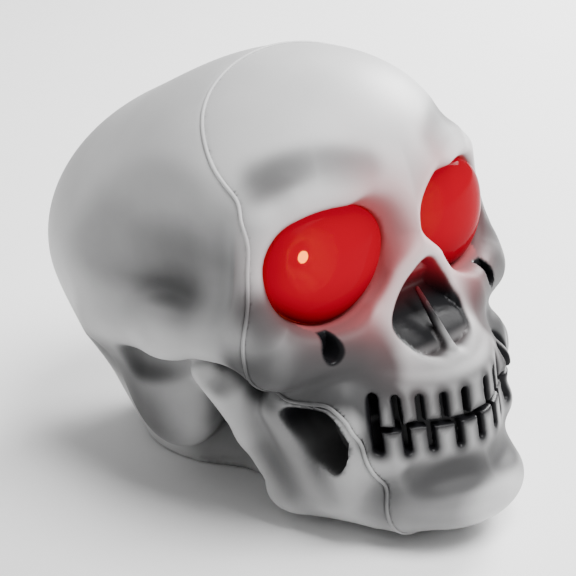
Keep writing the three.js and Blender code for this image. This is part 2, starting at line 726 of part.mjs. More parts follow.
const NOSE_RIM = 61;
const NOSE_FLOOR = NOSE_RIM - NOSE_DEPTH;
const CHEEK_FLOOR = 41 - CHEEK_DEPTH;
const FORAMEN_FLOOR = 56 - FORAMEN_DEPTH;
const OUTSIDE = 70;
const FACE_REACH = 90;
const foramen = frontPrism(foramenOutline(), FORAMEN_FLOOR, FACE_REACH, 3);
const foramenBacking = block([34, 46], [FORAMEN_FLOOR - WALL, OUTSIDE], [64, 80]);
const noseRecess = noseRoom(0);
const noseBacking = noseRoom(WALL);
const cheekRecess = sidePrism(cheekOutline(0), CHEEK_FLOOR, OUTSIDE);
const cheekBacking = sidePrism(cheekOutline(WALL), CHEEK_FLOOR - WALL, OUTSIDE);

// Battery base: sizes that its pieces share
const FLOOR_TOP = WALL;
const CELL_SIDE = (CELL_DIAMETER + CELL_PLAY) / 2;
const BAY_HALF_WIDTH = CELL_DIAMETER + 1.5 * CELL_PLAY;
const BAY_LENGTH = CELL_LENGTH + CELL_NUB_LENGTH + SPRING_LENGTH + 2 * CONTACT_THICKNESS + 4 * CLEARANCE;
const BAY_REAR = BOX_CENTRE - BAY_LENGTH / 2;
const BAY_FRONT = BOX_CENTRE + BAY_LENGTH / 2;
const BAY_TOP = FLOOR_TOP + CELL_DIAMETER + 2 * CELL_PLAY;
const BOX_BOTTOM = FLOOR_TOP + CLEARANCE;
const CELL_UP = FLOOR_TOP + CELL_PLAY + CELL_DIAMETER / 2;
const DOOR_TOP = DOOR_RECESS + DOOR_THICKNESS;
const HINGE_UP = DOOR_RECESS + HINGE_KNUCKLE_RADIUS;
const HINGE_REST = HINGE_KNUCKLE_RADIUS + CLEARANCE;
const HINGE_FRONT = BAY_REAR - BOX_WALL - DOOR_HINGE_GAP - HINGE_REST;
const HINGE_CHEEK_TOP = HINGE_UP + HINGE_PIN_RADIUS + CLEARANCE + 1.2;
const EAR_FRONT = BAY_FRONT + BOX_WALL + BOX_EAR;
const BOX_EAR_SIDE = CATCH_HALF_WIDTH + FINGER_NOTCH + BOSS_RADIUS;
const BOX_BOSS_TOP = FLOOR_TOP + SCREW_LENGTH;
const SWITCH_WEB_TOP = SWITCH_POCKET_DEPTH + SWITCH_WEB;
const SWITCH_BODY_BOTTOM = SWITCH_WEB_TOP + CLEARANCE;
const BOARD_BOTTOM = SWITCH_BODY_BOTTOM + SWITCH_BODY_HEIGHT + CLEARANCE;
const BOARD_TOP = BOARD_BOTTOM + BOARD_THICKNESS;
const BOARD_REAR = SWITCH_FRONT - 8;
const SLOT_HALF_LENGTH = KNOB_STEM_HALF_WIDTH + SWITCH_TRAVEL / 2 + CLEARANCE;
const POCKET_HALF_LENGTH = KNOB_HALF_LENGTH + SWITCH_TRAVEL / 2 + 4 * CLEARANCE;
const SHELL_TAB_BOTTOM = SHELL_SCREW_PAD_TOP + CLEARANCE;

const screwHole = (side, front, up) => solid(post(side, front, SCREW_HOLE_RADIUS, up, 8));

// Face shell
function faceShell(frames) {
  const standing = [solid(noseBacking), ...bothSides(foramenBacking)];
  const cuts = [solid(noseRecess), ...bothSides(foramen), mouthCuts()];
  for (const [hand, frame] of frames) {
    const eye = (geometry) => solid(geometry.applyMatrix4(frame.matrix));
    standing.push(eye(socket(hand, CLEARANCE + SOCKET_WALL, -SEAT_DEPTH)));
    cuts.push(eye(socket(hand, CLEARANCE, -EYE_REACH)));
    const hookAcross = around(-hand * EYE_LEAN * HOOK_UP, HOOK_HALF_WIDTH);
    const hookTop = HOOK_UP + CLEARANCE + HOOK_THICKNESS;
    const hookBack = PLATE_BACK - CLEARANCE - HOOK_THICKNESS;
    standing.push(eye(bar(hookAcross, [HOOK_UP + CLEARANCE, hookTop], [hookBack, EYE_REACH])));
    standing.push(eye(bar(hookAcross, [HOOK_UP - HOOK_LIP, hookTop], [hookBack, hookBack + HOOK_THICKNESS])));
    for (const [x, y] of earPlaces(hand)) {
      standing.push(eye(rod(x, y, BOSS_RADIUS, PLATE_FRONT + CLEARANCE, EYE_REACH)));
      const pilotEnd = PLATE_FRONT + SCREW_LENGTH + CLEARANCE;
      cuts.push(eye(rod(x, y, SCREW_HOLE_RADIUS, PLATE_FRONT - 1, pilotEnd)));
    }
    const side = hand * SHELL_SCREW_SIDE;
    const tabFront = [SHELL_SCREW_FRONT - BOSS_RADIUS, SHELL_SCREW_FRONT + SHELL_TAB_REACH];
    const tabUp = [SHELL_TAB_BOTTOM, SHELL_TAB_BOTTOM + SHELL_TAB_THICKNESS];
    standing.push(solid(block(around(side, BOSS_RADIUS), tabFront, tabUp)));
    const bossTop = SHELL_TAB_BOTTOM + SCREW_LENGTH + 1;
    const pilotTop = bossTop - 2;
    standing.push(solid(post(side, SHELL_SCREW_FRONT, BOSS_RADIUS, [SHELL_TAB_BOTTOM, bossTop])));
    cuts.push(screwHole(side, SHELL_SCREW_FRONT, [0, pilotTop]));
  }
  const tongueZone = inFrontOfSeam(TONGUE_REACH)
    .subtract(inFrontOfSeam(-TONGUE_REACH))
    .subtract(solid(block(everywhere, everywhere, [-FLOOR_BELOW, TONGUE_LOWEST])));
  const tongueRoom = cavity.intersect(frontHalf).add(clearCavity).subtract(tongueCavity);
  const moulding = wall.intersect(frontHalf)
    .add(joined(standing).intersect(faceRoom))
    .add(tongueRoom.intersect(tongueZone));
  return geometryOf(largestBody(moulding.subtract(joined(cuts))));
}

// Cranium shell
function craniumShell() {
  const bothBoxEars = [-1, 1].map((hand) => [hand * BOX_EAR_SIDE, EAR_FRONT]);
  const standing = [
    ...bothSides(cheekBacking),
    solid(block(around(0, POCKET_HALF_LENGTH + WALL), around(SWITCH_FRONT, SWITCH_POCKET_HALF_WIDTH + WALL),
      [0, SWITCH_WEB_TOP])),
    solid(block(around(0, CATCH_HALF_WIDTH + FINGER_NOTCH / 2 + WALL / 2),
      [BAY_FRONT + BOX_WALL + CLEARANCE, BAY_FRONT + CATCH_REACH + FINGER_NOTCH + WALL],
      [0, DOOR_TOP + CLEARANCE + WALL])),
    ...bothSides(block([HINGE_HALF_WIDTH + DOOR_SIDE_GAP, HINGE_HALF_WIDTH + DOOR_SIDE_GAP + HINGE_CHEEK],
      around(HINGE_FRONT, HINGE_REST), [0, HINGE_CHEEK_TOP])),
    ...[-1, 1].map((hand) => solid(post(hand * SHELL_SCREW_SIDE, SHELL_SCREW_FRONT, SHELL_SCREW_PAD_RADIUS,
      [0, SHELL_SCREW_PAD_TOP]))),
    ...bothBoxEars.map(([side, front]) => solid(post(side, front, BOSS_RADIUS, [0, BOX_BOSS_TOP]))),
    ...[-1, 1].map((hand) => solid(post(hand * BOARD_POST_SIDE, BOARD_POST_FRONT, BOSS_RADIUS,
      [0, BOARD_BOTTOM - CLEARANCE]))),
  ];
  const pinHole = HINGE_PIN_RADIUS + CLEARANCE;
  const pinReach = HINGE_HALF_WIDTH + HINGE_PIN_LENGTH + 2 * DOOR_SIDE_GAP;
  const notchFront = [BAY_FRONT - DOOR_SIDE_GAP, BAY_FRONT + CATCH_REACH + FINGER_NOTCH];
  const cuts = [
    ...bothSides(cheekRecess),
    solid(block(around(0, BAY_HALF_WIDTH), [BAY_REAR, BAY_FRONT], [-1, FLOOR_TOP + 1])),
    solid(block(around(0, HINGE_HALF_WIDTH + DOOR_SIDE_GAP), [HINGE_FRONT - HINGE_REST, BAY_REAR + 1],
      [-1, FLOOR_TOP + 1])),
    solid(crossBar(pinHole, around(0, pinReach), HINGE_FRONT, HINGE_UP)),
    solid(block(around(0, CATCH_HALF_WIDTH + FINGER_NOTCH / 2), notchFront, [-1, DOOR_TOP + CLEARANCE])),
    solid(block(around(0, POCKET_HALF_LENGTH), around(SWITCH_FRONT, SWITCH_POCKET_HALF_WIDTH),
      [-1, SWITCH_POCKET_DEPTH])),
    solid(block(around(0, SLOT_HALF_LENGTH), around(SWITCH_FRONT, KNOB_STEM_HALF_WIDTH + CLEARANCE),
      [-1, SWITCH_WEB_TOP + 1])),
    ...bothBoxEars.map(([side, front]) => screwHole(side, front, [FLOOR_TOP, BOX_BOSS_TOP + 1])),
  ];
  for (const hand of [-1, 1]) {
    const head = SCREW_HEAD_RADIUS + 2 * CLEARANCE;
    const headTop = SHELL_SCREW_PAD_TOP - WALL;
    cuts.push(solid(post(hand * SHELL_SCREW_SIDE, SHELL_SCREW_FRONT, head, [-1, headTop])));
    cuts.push(screwHole(hand * SHELL_SCREW_SIDE, SHELL_SCREW_FRONT, [-1, SHELL_SCREW_PAD_TOP + 1]));
    cuts.push(screwHole(hand * BOARD_POST_SIDE, BOARD_POST_FRONT, [FLOOR_TOP, BOARD_BOTTOM]));
  }
  const moulding = wall.subtract(frontHalfAndGap).add(joined(standing).intersect(craniumRoom));
  return geometryOf(largestBody(moulding.subtract(joined(cuts))));
}

// Lens, lamp cup and diode of one eye, in the eye's frame, trimmed clear of the shells
function trimmedToCavity(geometry, frame) {
  const back = frame.matrix.clone().invert();
  const inPlace = solid(geometry.clone().applyMatrix4(frame.matrix)).intersect(lampCavity);
  return solid(geometryOf(inPlace).applyMatrix4(back));
}

function eyeLens(hand, frame) {
  const back = frame.matrix.clone().invert();
  const behindSeam = geometryOf(outerSkin.subtract(lampCavity).subtract(frontHalf)).applyMatrix4(back);
  const cup = solid(lensGeometry(hand)).subtract(solid(behindSeam));
  return geometryOf(cup.add(trimmedToCavity(lensFlange(hand), frame)));
}

function lampCup(hand, frame) {
  const armLength = EAR_DOWN - EYE_HEIGHT / 2 + EAR_RADIUS;
  const ears = earPlaces(hand).flatMap(([x, y]) => [
    solid(rod(x, y, EAR_RADIUS, PLATE_BACK, PLATE_FRONT)),
    solid(bar(around(x, EAR_RADIUS), [y, y + armLength], [PLATE_BACK, PLATE_FRONT])),
  ]);
  const hole = ([x, y]) => solid(rod(x, y, SCREW_HOLE_RADIUS, PLATE_BACK - 1, PLATE_FRONT + 1));
  const holes = earPlaces(hand).map(hole);
  const plate = joined([solid(cupPlate(hand)), ...ears]).subtract(joined(holes));
  return geometryOf(largestBody(trimmedToCavity(geometryOf(plate), frame)).add(solid(cupCone())));
}

// Battery box: a tray turned open side down over the bay, with two ears on bosses
function batteryBox() {
  const half = BAY_HALF_WIDTH + BOX_WALL;
  const outerEnds = [BAY_REAR - BOX_WALL, BAY_FRONT + BOX_WALL];
  const earUp = [BOX_BOSS_TOP + CLEARANCE, BOX_BOSS_TOP + CLEARANCE + BOX_WALL];
  const ears = [-1, 1].flatMap((hand) => [
    solid(post(hand * BOX_EAR_SIDE, EAR_FRONT, BOSS_RADIUS, earUp)),
    solid(block(around(hand * BOX_EAR_SIDE, BOSS_RADIUS), [BAY_FRONT + BOX_WALL / 2, EAR_FRONT], earUp)),
  ]);
  const holeUp = [earUp[0] - 1, earUp[1] + 1];
  const holes = [-1, 1].map((hand) => screwHole(hand * BOX_EAR_SIDE, EAR_FRONT, holeUp));
  const tagSlots = [-1, 1].map((hand) => solid(block(around(hand * CELL_SIDE, TAG_WIDTH / 2 + CLEARANCE),
    [BAY_FRONT - 1, BAY_FRONT + BOX_WALL + 1], around(CELL_UP, CONTACT_THICKNESS / 2 + CLEARANCE))));
  const notchHalf = CATCH_HALF_WIDTH + FINGER_NOTCH / 2 + WALL;
  const catchNotch = solid(block(around(0, notchHalf), [BAY_FRONT - 1, outerEnds[1] + 1],
    [0, DOOR_TOP + 2 * CLEARANCE + WALL]));
  const divider = solid(block(around(0, CELL_PLAY / 4), [BAY_REAR - 1, BAY_FRONT + 1],
    [BAY_TOP - BOX_DIVIDER, BAY_TOP + 1]));
  const bay = solid(block(around(0, BAY_HALF_WIDTH), [BAY_REAR, BAY_FRONT], [0, BAY_TOP])).subtract(divider);
  const tray = solid(block(around(0, half), outerEnds, [BOX_BOTTOM, BAY_TOP + BOX_WALL]));
  return geometryOf(joined([tray, ...ears]).subtract(joined([bay, catchNotch, ...holes, ...tagSlots])));
}

// Door: a plate with a round-ended tail that swings on two pins, a catch at its front and stiffening ribs
function batteryDoor() {
  const half = BAY_HALF_WIDTH - DOOR_SIDE_GAP;
  const up = [DOOR_RECESS, DOOR_TOP];
  const rib = 0.6 * CELL_PLAY;
  const plate = joined([
    solid(block(around(0, half), [BAY_REAR + DOOR_HINGE_GAP, BAY_FRONT - DOOR_SIDE_GAP], up)),
    solid(block(around(0, HINGE_HALF_WIDTH), [HINGE_FRONT, BAY_REAR + DOOR_HINGE_GAP + 1], up)),
    solid(block(around(0, CATCH_HALF_WIDTH), [BAY_FRONT - 1, BAY_FRONT + CATCH_REACH], up)),
    solid(crossBar(HINGE_KNUCKLE_RADIUS, around(0, HINGE_HALF_WIDTH), HINGE_FRONT, HINGE_UP)),
    solid(crossBar(HINGE_PIN_RADIUS, around(0, HINGE_HALF_WIDTH + HINGE_PIN_LENGTH), HINGE_FRONT, HINGE_UP)),
    ...[-1, 0, 1].map((line) => solid(block(around(line * 0.9 * half, rib),
      [BAY_REAR + 2 * DOOR_HINGE_GAP, BAY_FRONT - 2 * DOOR_HINGE_GAP], [DOOR_TOP - 1, DOOR_TOP + rib]))),
  ]);
  const grip = [0, 1, 2].map((line) => solid(block(around(0, half / 2),
    around(BAY_FRONT - 5 - 2.4 * line, 0.5), [0, DOOR_RECESS + 0.6])));
  return geometryOf(plate.subtract(joined(grip)));
}

// A cell lies along y with its nub towards the front when heading is 1
function cellGeometry(hand, heading) {
  const radius = CELL_DIAMETER / 2;
  const chamfer = 0.6;
  const end = CELL_LENGTH / 2;
  const profile = [
    [0, -end],
    [radius - chamfer, -end],
    [radius, -end + chamfer],
    [radius, end - chamfer],
    [radius - chamfer, end],
    [CELL_NUB_RADIUS, end],
    [CELL_NUB_RADIUS, end + CELL_NUB_LENGTH],
    [0, end + CELL_NUB_LENGTH],
  ];
  const points = profile.map(([across, along]) => new THREE.Vector2(across, along));
  const cell = new THREE.LatheGeometry(points, 12);
  if (heading > 0) cell.rotateX(Math.PI);
  const slack = SPRING_LENGTH - CELL_NUB_LENGTH;
  return cell.translate(hand * CELL_SIDE, -BOX_CENTRE - (heading * slack) / 2, CELL_UP);
}

// Contacts stand against the two ends of the bay
const contactFront = (end) => (end > 0
  ? [BAY_FRONT - CLEARANCE - CONTACT_THICKNESS, BAY_FRONT - CLEARANCE]
  : [BAY_REAR + CLEARANCE, BAY_REAR + CLEARANCE + CONTACT_THICKNESS]);

const contactUp = around(CELL_UP, CONTACT_WIDTH / 2);

function contactPlate(hand) {
  const plate = block(around(hand * CELL_SIDE, CONTACT_WIDTH / 2), contactFront(1), contactUp);
  const tagFront = [contactFront(1)[0], BAY_FRONT + BOX_WALL + TAG_REACH];
  const tagUp = around(CELL_UP, CONTACT_THICKNESS / 2);
  const tag = block(around(hand * CELL_SIDE, TAG_WIDTH / 2), tagFront, tagUp);
  return geometryOf(solid(plate).add(solid(tag)));
}

const contactBridge = block(around(0, CELL_SIDE + CONTACT_WIDTH / 2), contactFront(-1), contactUp);

class SpringCurve extends THREE.Curve {
  constructor(side, foot, heading) {
    super();
    Object.assign(this, { side, foot, heading });
  }

  getPoint(share) {
    const turn = 2 * Math.PI * SPRING_TURNS * share;
    const radius = THREE.MathUtils.lerp(SPRING_WIDE_RADIUS, SPRING_NARROW_RADIUS, share);
    const reach = SPRING_LENGTH - 2 * SPRING_WIRE_RADIUS - 2 * CLEARANCE;
    const along = CLEARANCE + SPRING_WIRE_RADIUS + reach * share;
    const side = this.side + radius * Math.cos(turn);
    return place(side, this.foot + this.heading * along, CELL_UP + radius * Math.sin(turn));
  }
}

// Least gap between one turn's wire and the next, measured on points
function leastSpringGap(curve) {
  const perTurn = 48;
  const points = curve.getPoints(perTurn * SPRING_TURNS);
  let least = Infinity;
  points.forEach((point, k) => {
    for (let other = k + perTurn / 2; other < points.length; other += 1) {
      least = Math.min(least, point.distanceTo(points[other]));
    }
  });
  return least - 2 * SPRING_WIRE_RADIUS;
}

function ellipse(width, height, sides) {
  const points = [];
  for (let k = 0; k < sides; k += 1) {
    const turn = (2 * Math.PI * (k + 0.5)) / sides;
    points.push(new THREE.Vector2((width / 2) * Math.cos(turn), (height / 2) * Math.sin(turn)));
  }
  return new THREE.Shape(points);
}

const tube = (section, path, steps) => new THREE.ExtrudeGeometry(section, { extrudePath: path, steps });

function contactSpring(side, end) {
  const curve = new SpringCurve(side, end > 0 ? contactFront(1)[0] : contactFront(-1)[1], -end);
  console.log(`contact spring: least gap between turns ${leastSpringGap(curve).toFixed(2)} mm`);
  return tube(ellipse(2 * SPRING_WIRE_RADIUS, 2 * SPRING_WIRE_RADIUS, 5), curve, 8 * SPRING_TURNS);
}

// Switch and board
function switchBody() {
  const inside = POCKET_HALF_LENGTH - CLEARANCE;
  const insideWidth = KNOB_HALF_WIDTH + CLEARANCE;
  const canFront = around(SWITCH_FRONT, insideWidth + SWITCH_BODY_WALL);
  const can = block(around(0, inside + SWITCH_BODY_WALL), canFront,
    [SWITCH_BODY_BOTTOM, SWITCH_BODY_BOTTOM + SWITCH_BODY_HEIGHT]);
  const hollow = block(around(0, inside), around(SWITCH_FRONT, insideWidth),
    [SWITCH_BODY_BOTTOM - 1, SWITCH_BODY_BOTTOM + SWITCH_BODY_HEIGHT / 2]);
  return geometryOf(solid(can).subtract(solid(hollow)));
}

function switchKnob() {
  const thumbTop = SWITCH_POCKET_DEPTH - CLEARANCE;
  const sliderBottom = SWITCH_BODY_BOTTOM;
  const sliderTop = SWITCH_BODY_BOTTOM + SWITCH_BODY_HEIGHT / 2 - CLEARANCE;
  const slab = (halfLength, halfWidth, up) => (
    solid(block(around(0, halfLength), around(SWITCH_FRONT, halfWidth), up))
  );
  const knob = joined([
    slab(KNOB_HALF_LENGTH, KNOB_HALF_WIDTH, [KNOB_RECESS, thumbTop]),
    slab(KNOB_STEM_HALF_WIDTH, KNOB_STEM_HALF_WIDTH, [KNOB_RECESS, sliderTop]),
    slab(KNOB_HALF_LENGTH, KNOB_HALF_WIDTH, [sliderBottom, sliderTop]),
  ]);
  const grooves = [-1, 0, 1].map((line) => solid(block(around(line * KNOB_HALF_LENGTH * 0.55, 0.25),
    around(SWITCH_FRONT, KNOB_HALF_WIDTH + 1), [0, KNOB_RECESS + 0.4])));
  return geometryOf(knob.subtract(joined(grooves)));
}

function circuitBoard() {
  const boardFront = [BOARD_REAR, BOARD_REAR + BOARD_LENGTH];
  const board = block(around(0, BOARD_WIDTH / 2), boardFront, [BOARD_BOTTOM, BOARD_TOP]);
  const holeUp = [BOARD_BOTTOM - 1, BOARD_TOP + 1];
  const holes = [-1, 1].map((hand) => screwHole(hand * BOARD_POST_SIDE, BOARD_POST_FRONT, holeUp));
  return geometryOf(solid(board).subtract(joined(holes)));
}

function controlChip() {
  const profile = [
    [0, CHIP_HEIGHT],
    [0.55 * CHIP_RADIUS, 0.9 * CHIP_HEIGHT],
    [0.9 * CHIP_RADIUS, 0.45 * CHIP_HEIGHT],
    [CHIP_RADIUS, 0],
    [0, 0],
  ];
  const drop = lathe(profile.map(([radius, along]) => [radius, -along]), 12).rotateX(Math.PI);
  return drop.translate(0, -(BOARD_REAR + BOARD_LENGTH - 2 * CHIP_RADIUS), BOARD_TOP + CLEARANCE);
}

function resistorGeometry(hand) {
  const half = RESISTOR_LENGTH / 2;
  const points = [
    [0, -half],
    [RESISTOR_RADIUS, -half],
    [RESISTOR_RADIUS, -0.6 * half],
    [0.8 * RESISTOR_RADIUS, -0.5 * half],
    [0.8 * RESISTOR_RADIUS, 0.5 * half],
    [RESISTOR_RADIUS, 0.6 * half],
    [RESISTOR_RADIUS, half],
    [0, half],
  ].map(([radius, along]) => new THREE.Vector2(radius, along));
  const up = BOARD_TOP + CLEARANCE + RESISTOR_RADIUS;
  return new THREE.LatheGeometry(points, 8).translate(hand * (BOARD_WIDTH / 2 - 4), -SWITCH_FRONT, up);
}

// Twin cable from the board to a diode's leads, and a lead from a battery contact to the board
function lampCable(hand, frame) {
  const behind = (z) => new THREE.Vector3(0, 0, z).applyMatrix4(frame.matrix);
  const leadEnd = LED_SEAT - LED_RIM_THICKNESS - LED_LEAD_LENGTH - CLEARANCE;
  const path = new THREE.CatmullRomCurve3([
    place(hand * 6, BOARD_REAR + 4, BOARD_TOP + CLEARANCE),
    place(hand * 6, BOARD_REAR + 4, BOARD_TOP + 5),
    place(hand * 7, BOARD_REAR, BOARD_TOP + 16),
    place(hand * 10, 20, 44),
    place(hand * 13, 4, 68),
    place(hand * 15.5, -3, 86),
    behind(leadEnd - 8),
    behind(leadEnd - 2),
    behind(leadEnd),
  ]);
  return tube(ellipse(CABLE_WIDTH, CABLE_THICKNESS, 6), path, 16);
}

function batteryLead(hand) {
  const tagEnd = BAY_FRONT + BOX_WALL + TAG_REACH + CLEARANCE;
  const path = new THREE.CatmullRomCurve3([
    place(hand * CELL_SIDE, tagEnd, CELL_UP),
    place(hand * CELL_SIDE, tagEnd + 1.5, CELL_UP + 0.5),
    place(hand * (CELL_SIDE - 3), BOARD_REAR - 2, BOARD_TOP + 4),
    place(hand * 2.5, BOARD_REAR + 2, BOARD_TOP + 4),
    place(hand * 2.5, BOARD_REAR + 3, BOARD_TOP + 1.5),
    place(hand * 2.5, BOARD_REAR + 3, BOARD_TOP + CLEARANCE),
  ]);
  return tube(ellipse(LEAD_DIAMETER, LEAD_DIAMETER, 6), path, 12);
}

// Assembly
const skull = new THREE.Group();

function addPiece(name, geometry, material, parent = skull) {
  const piece = new THREE.Mesh(closedGeometry(geometry), material);
  piece.name = name;
  parent.add(piece);
  return piece;
}

function addScrew(name, side, front, headSeat, drivenUp) {
  const screw = addPiece(name, screwGeometry(), STEEL);
  screw.position.copy(place(side, front, headSeat));
  screw.rotation.x = drivenUp ? 0 : Math.PI;
}

const hands = [[1, 'left'], [-1, 'right']];
const eyeFrames = hands.map(([hand]) => [hand, eyeFrame(hand)]);

addPiece('face_shell', faceShell(eyeFrames), BONE);
addPiece('cranium_shell', craniumShell(), BONE);

hands.forEach(([hand, word], k) => {
  const frame = eyeFrames[k][1];
  skull.add(frame);
  addPiece(`eye_lens_${word}`, eyeLens(hand, frame), RED_LENS, frame);
  addPiece(`lamp_cup_${word}`, lampCup(hand, frame), WHITE_PLASTIC, frame);
  addPiece(`lamp_diode_${word}`, ledGeometry(), LED_RED, frame);
  earPlaces(hand).forEach(([x, y], ear) => {
    const name = `lamp_cup_screw_${word}_${['inner', 'outer'][ear]}`;
    const screw = addPiece(name, screwGeometry(), STEEL, frame);
    screw.position.set(x, y, PLATE_BACK - CLEARANCE);
  });
  addPiece(`lamp_cable_${word}`, lampCable(hand, frame), BLACK_WIRE);
  addPiece(`resistor_${word}`, resistorGeometry(hand), TAN_RESISTOR);
  const earTop = BOX_BOSS_TOP + 2 * CLEARANCE + BOX_WALL;
  addScrew(`battery_box_screw_${word}`, hand * BOX_EAR_SIDE, EAR_FRONT, earTop, false);
  addScrew(`board_screw_${word}`, hand * BOARD_POST_SIDE, BOARD_POST_FRONT, BOARD_TOP + CLEARANCE, false);
  const shellSeat = SHELL_SCREW_PAD_TOP - WALL - CLEARANCE;
  addScrew(`shell_screw_${word}`, hand * SHELL_SCREW_SIDE, SHELL_SCREW_FRONT, shellSeat, true);
});

addPiece('battery_box', batteryBox(), BLACK_PLASTIC);
addPiece('battery_door', batteryDoor(), BONE);
addPiece('battery_cell_left', cellGeometry(1, 1), CELL_JACKET);
addPiece('battery_cell_right', cellGeometry(-1, -1), CELL_JACKET);
addPiece('contact_positive', contactPlate(1), STEEL);
addPiece('contact_negative', contactPlate(-1), STEEL);
addPiece('contact_bridge', contactBridge, STEEL);
addPiece('contact_spring_left', contactSpring(CELL_SIDE, -1), STEEL);
addPiece('contact_spring_right', contactSpring(-CELL_SIDE, 1), STEEL);
addPiece('circuit_board', circuitBoard(), BOARD_GREEN);
addPiece('control_chip', controlChip(), BLACK_PLASTIC);
addPiece('switch_body', switchBody(), STEEL);
addPiece('switch_knob', switchKnob(), BLACK_PLASTIC);
addPiece('battery_lead_red', batteryLead(1), RED_WIRE);
addPiece('battery_lead_black', batteryLead(-1), BLACK_WIRE);

export default skull;
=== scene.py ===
import json
import math

import bpy
import numpy as np
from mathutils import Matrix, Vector


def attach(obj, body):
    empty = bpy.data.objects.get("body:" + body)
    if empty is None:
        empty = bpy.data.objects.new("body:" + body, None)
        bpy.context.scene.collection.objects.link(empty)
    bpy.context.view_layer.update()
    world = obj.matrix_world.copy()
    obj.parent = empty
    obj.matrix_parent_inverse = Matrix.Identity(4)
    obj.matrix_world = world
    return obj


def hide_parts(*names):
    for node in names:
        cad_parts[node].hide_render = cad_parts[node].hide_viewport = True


# Skull decoration with lit red eyes: forms are worked out in millimetres, and objects are in metres
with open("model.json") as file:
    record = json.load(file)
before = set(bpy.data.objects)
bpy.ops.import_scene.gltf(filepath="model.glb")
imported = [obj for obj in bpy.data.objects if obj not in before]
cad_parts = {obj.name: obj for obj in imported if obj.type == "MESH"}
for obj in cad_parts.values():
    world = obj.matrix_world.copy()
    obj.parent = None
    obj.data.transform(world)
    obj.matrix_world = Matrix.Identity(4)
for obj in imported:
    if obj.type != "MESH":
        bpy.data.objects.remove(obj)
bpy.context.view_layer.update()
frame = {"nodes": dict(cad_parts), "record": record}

MM = 0.001
SHARP_EDGE = math.radians(55)
FACE_GRID = 0.9
CRANIUM_GRID = 1.35

# Shells
WALL = 2.4
SEAM_GAP = 0.3
SEAM_ROUNDING = 1.0
BASE_ROUNDING = 1.6
TEMPLE_BLEND = 14
BEAD_RADIUS = 0.65
BEAD_SHIFT = 0.26
BEAD_STEP = 1.2

# Eyes: an egg outline on a plane that faces forward, outward and a little up
EYE_SIDE = 30.2
EYE_FRONT = 45.4
EYE_UP = 93.2
EYE_HALF_WIDTH = 22.2
EYE_HALF_HEIGHT = 18.5
EYE_TURN = math.radians(9)
EYE_TILT = math.radians(6)
EYE_LEAN = 0.08
EYE_SPREAD = 0.006
EYE_SHEAR = 0.2
EYE_FLARE = 0.7
EYE_SQUARENESS = 2.1
EYE_CLEARANCE = 0.3
EYE_HOLE_DEPTH = 30
LENS_EDGE_DEPTH = 2
LENS_BULGE = 7.5
COLLAR_DEPTH = 6

# Mouth
ARCH_HALF_WIDTH = 34
ARCH_LENGTH = 41
ARCH_FRONT = 42.5
ARCH_LEAN = 0.2
ARCH_LEVEL = 48
BITE_UP = 44.2
BITE_LIFT = 1.4
BITE_OPENING = 1.8
MOUTH_CORNER = 57.5
TOOTH_GAP = 2.2
CORNER_GAP = 2.6
TOOTH_RELIEF = 2.6
UPPER_TOOTH = 9.6
LOWER_TOOTH = 8.8
UPPER_GAPS = (9, 22.5, 35.5, 47.5)
LOWER_GAPS = (0, 15.6, 31.2, 44.5)

# Battery base
BAY_HALF_WIDTH = 15.4
BAY_REAR = -37.85
BAY_FRONT = 19.85
HINGE_FRONT = -42.15
HINGE_REST = 1.9
HINGE_HALF_WIDTH = 9.35
HINGE_CHEEK = 3.4
HINGE_CHEEK_TOP = 4.4
NOTCH_HALF_WIDTH = 7
NOTCH_FRONT = 29.35
NOTCH_TOP = 2.7
POCKET_HALF_LENGTH = 5.6
POCKET_HALF_WIDTH = 4
POCKET_FRONT = 40
POCKET_TOP = 2.6
SLOT_HALF_LENGTH = 3.6
SLOT_HALF_WIDTH = 1.6
WEB_TOP = 4.2
SCREW_SIDE = 14
SCREW_FRONT = 65
SCREW_HEAD_HOLE = 2.9
SCREW_HEAD_TOP = 4.6
SCREW_HOLE = 1.4
SCREW_PAD_RADIUS = 5.4
SCREW_PAD_TOP = 7
BELOW = -9


# Lobes and how they join, on arrays of points (side, front, up) with side counted from the middle


def blend(a, b, radius):
    """Two forms joined, with a fillet where they meet."""
    share = np.clip(0.5 + 0.5 * (b - a) / radius, 0, 1)
    return b + (a - b) * share - radius * share * (1 - share)


def carve(a, b, radius):
    """Form a with b taken away, and the edge between them rounded."""
    return -blend(-a, b, radius)


def egg(p, centre, radii, pitch=0):
    """About the distance to an egg, pitched in degrees about the side axis."""
    turn = math.radians(pitch)
    side, front, up = (p - centre).T
    along = math.cos(turn) * front + math.sin(turn) * up
    above = math.cos(turn) * up - math.sin(turn) * front
    offsets = np.stack([side, along, above], axis=1)
    near = np.linalg.norm(offsets / radii, axis=1)
    slope = np.linalg.norm(offsets / np.square(radii), axis=1)
    return near * (near - 1) / np.maximum(slope, 1e-9)


def limb(p, start, end, start_radius, end_radius):
    """Distance to a rounded bar with a radius at each end."""
    axis = np.subtract(end, start)
    away = p - start
    share = np.clip(away @ axis / (axis @ axis), 0, 1)
    radius = start_radius + (end_radius - start_radius) * share
    return np.linalg.norm(away - share[:, None] * axis, axis=1) - radius


def box_gaps(p, *spans):
    """How far points are beyond a box, given by its lowest and highest side, front and up."""
    gaps = [np.abs(p[:, k] - (low + high) / 2) - (high - low) / 2 for k, (low, high) in enumerate(spans)]
    return np.stack(gaps, axis=1)


def box(p, side, front, up):
    return box_gaps(p, side, front, up).max(axis=1)


def post(p, side, front, radius, top):
    """An upright round bar below a level."""
    return np.maximum(np.hypot(p[:, 0] - side, p[:, 1] - front) - radius, p[:, 2] - top)


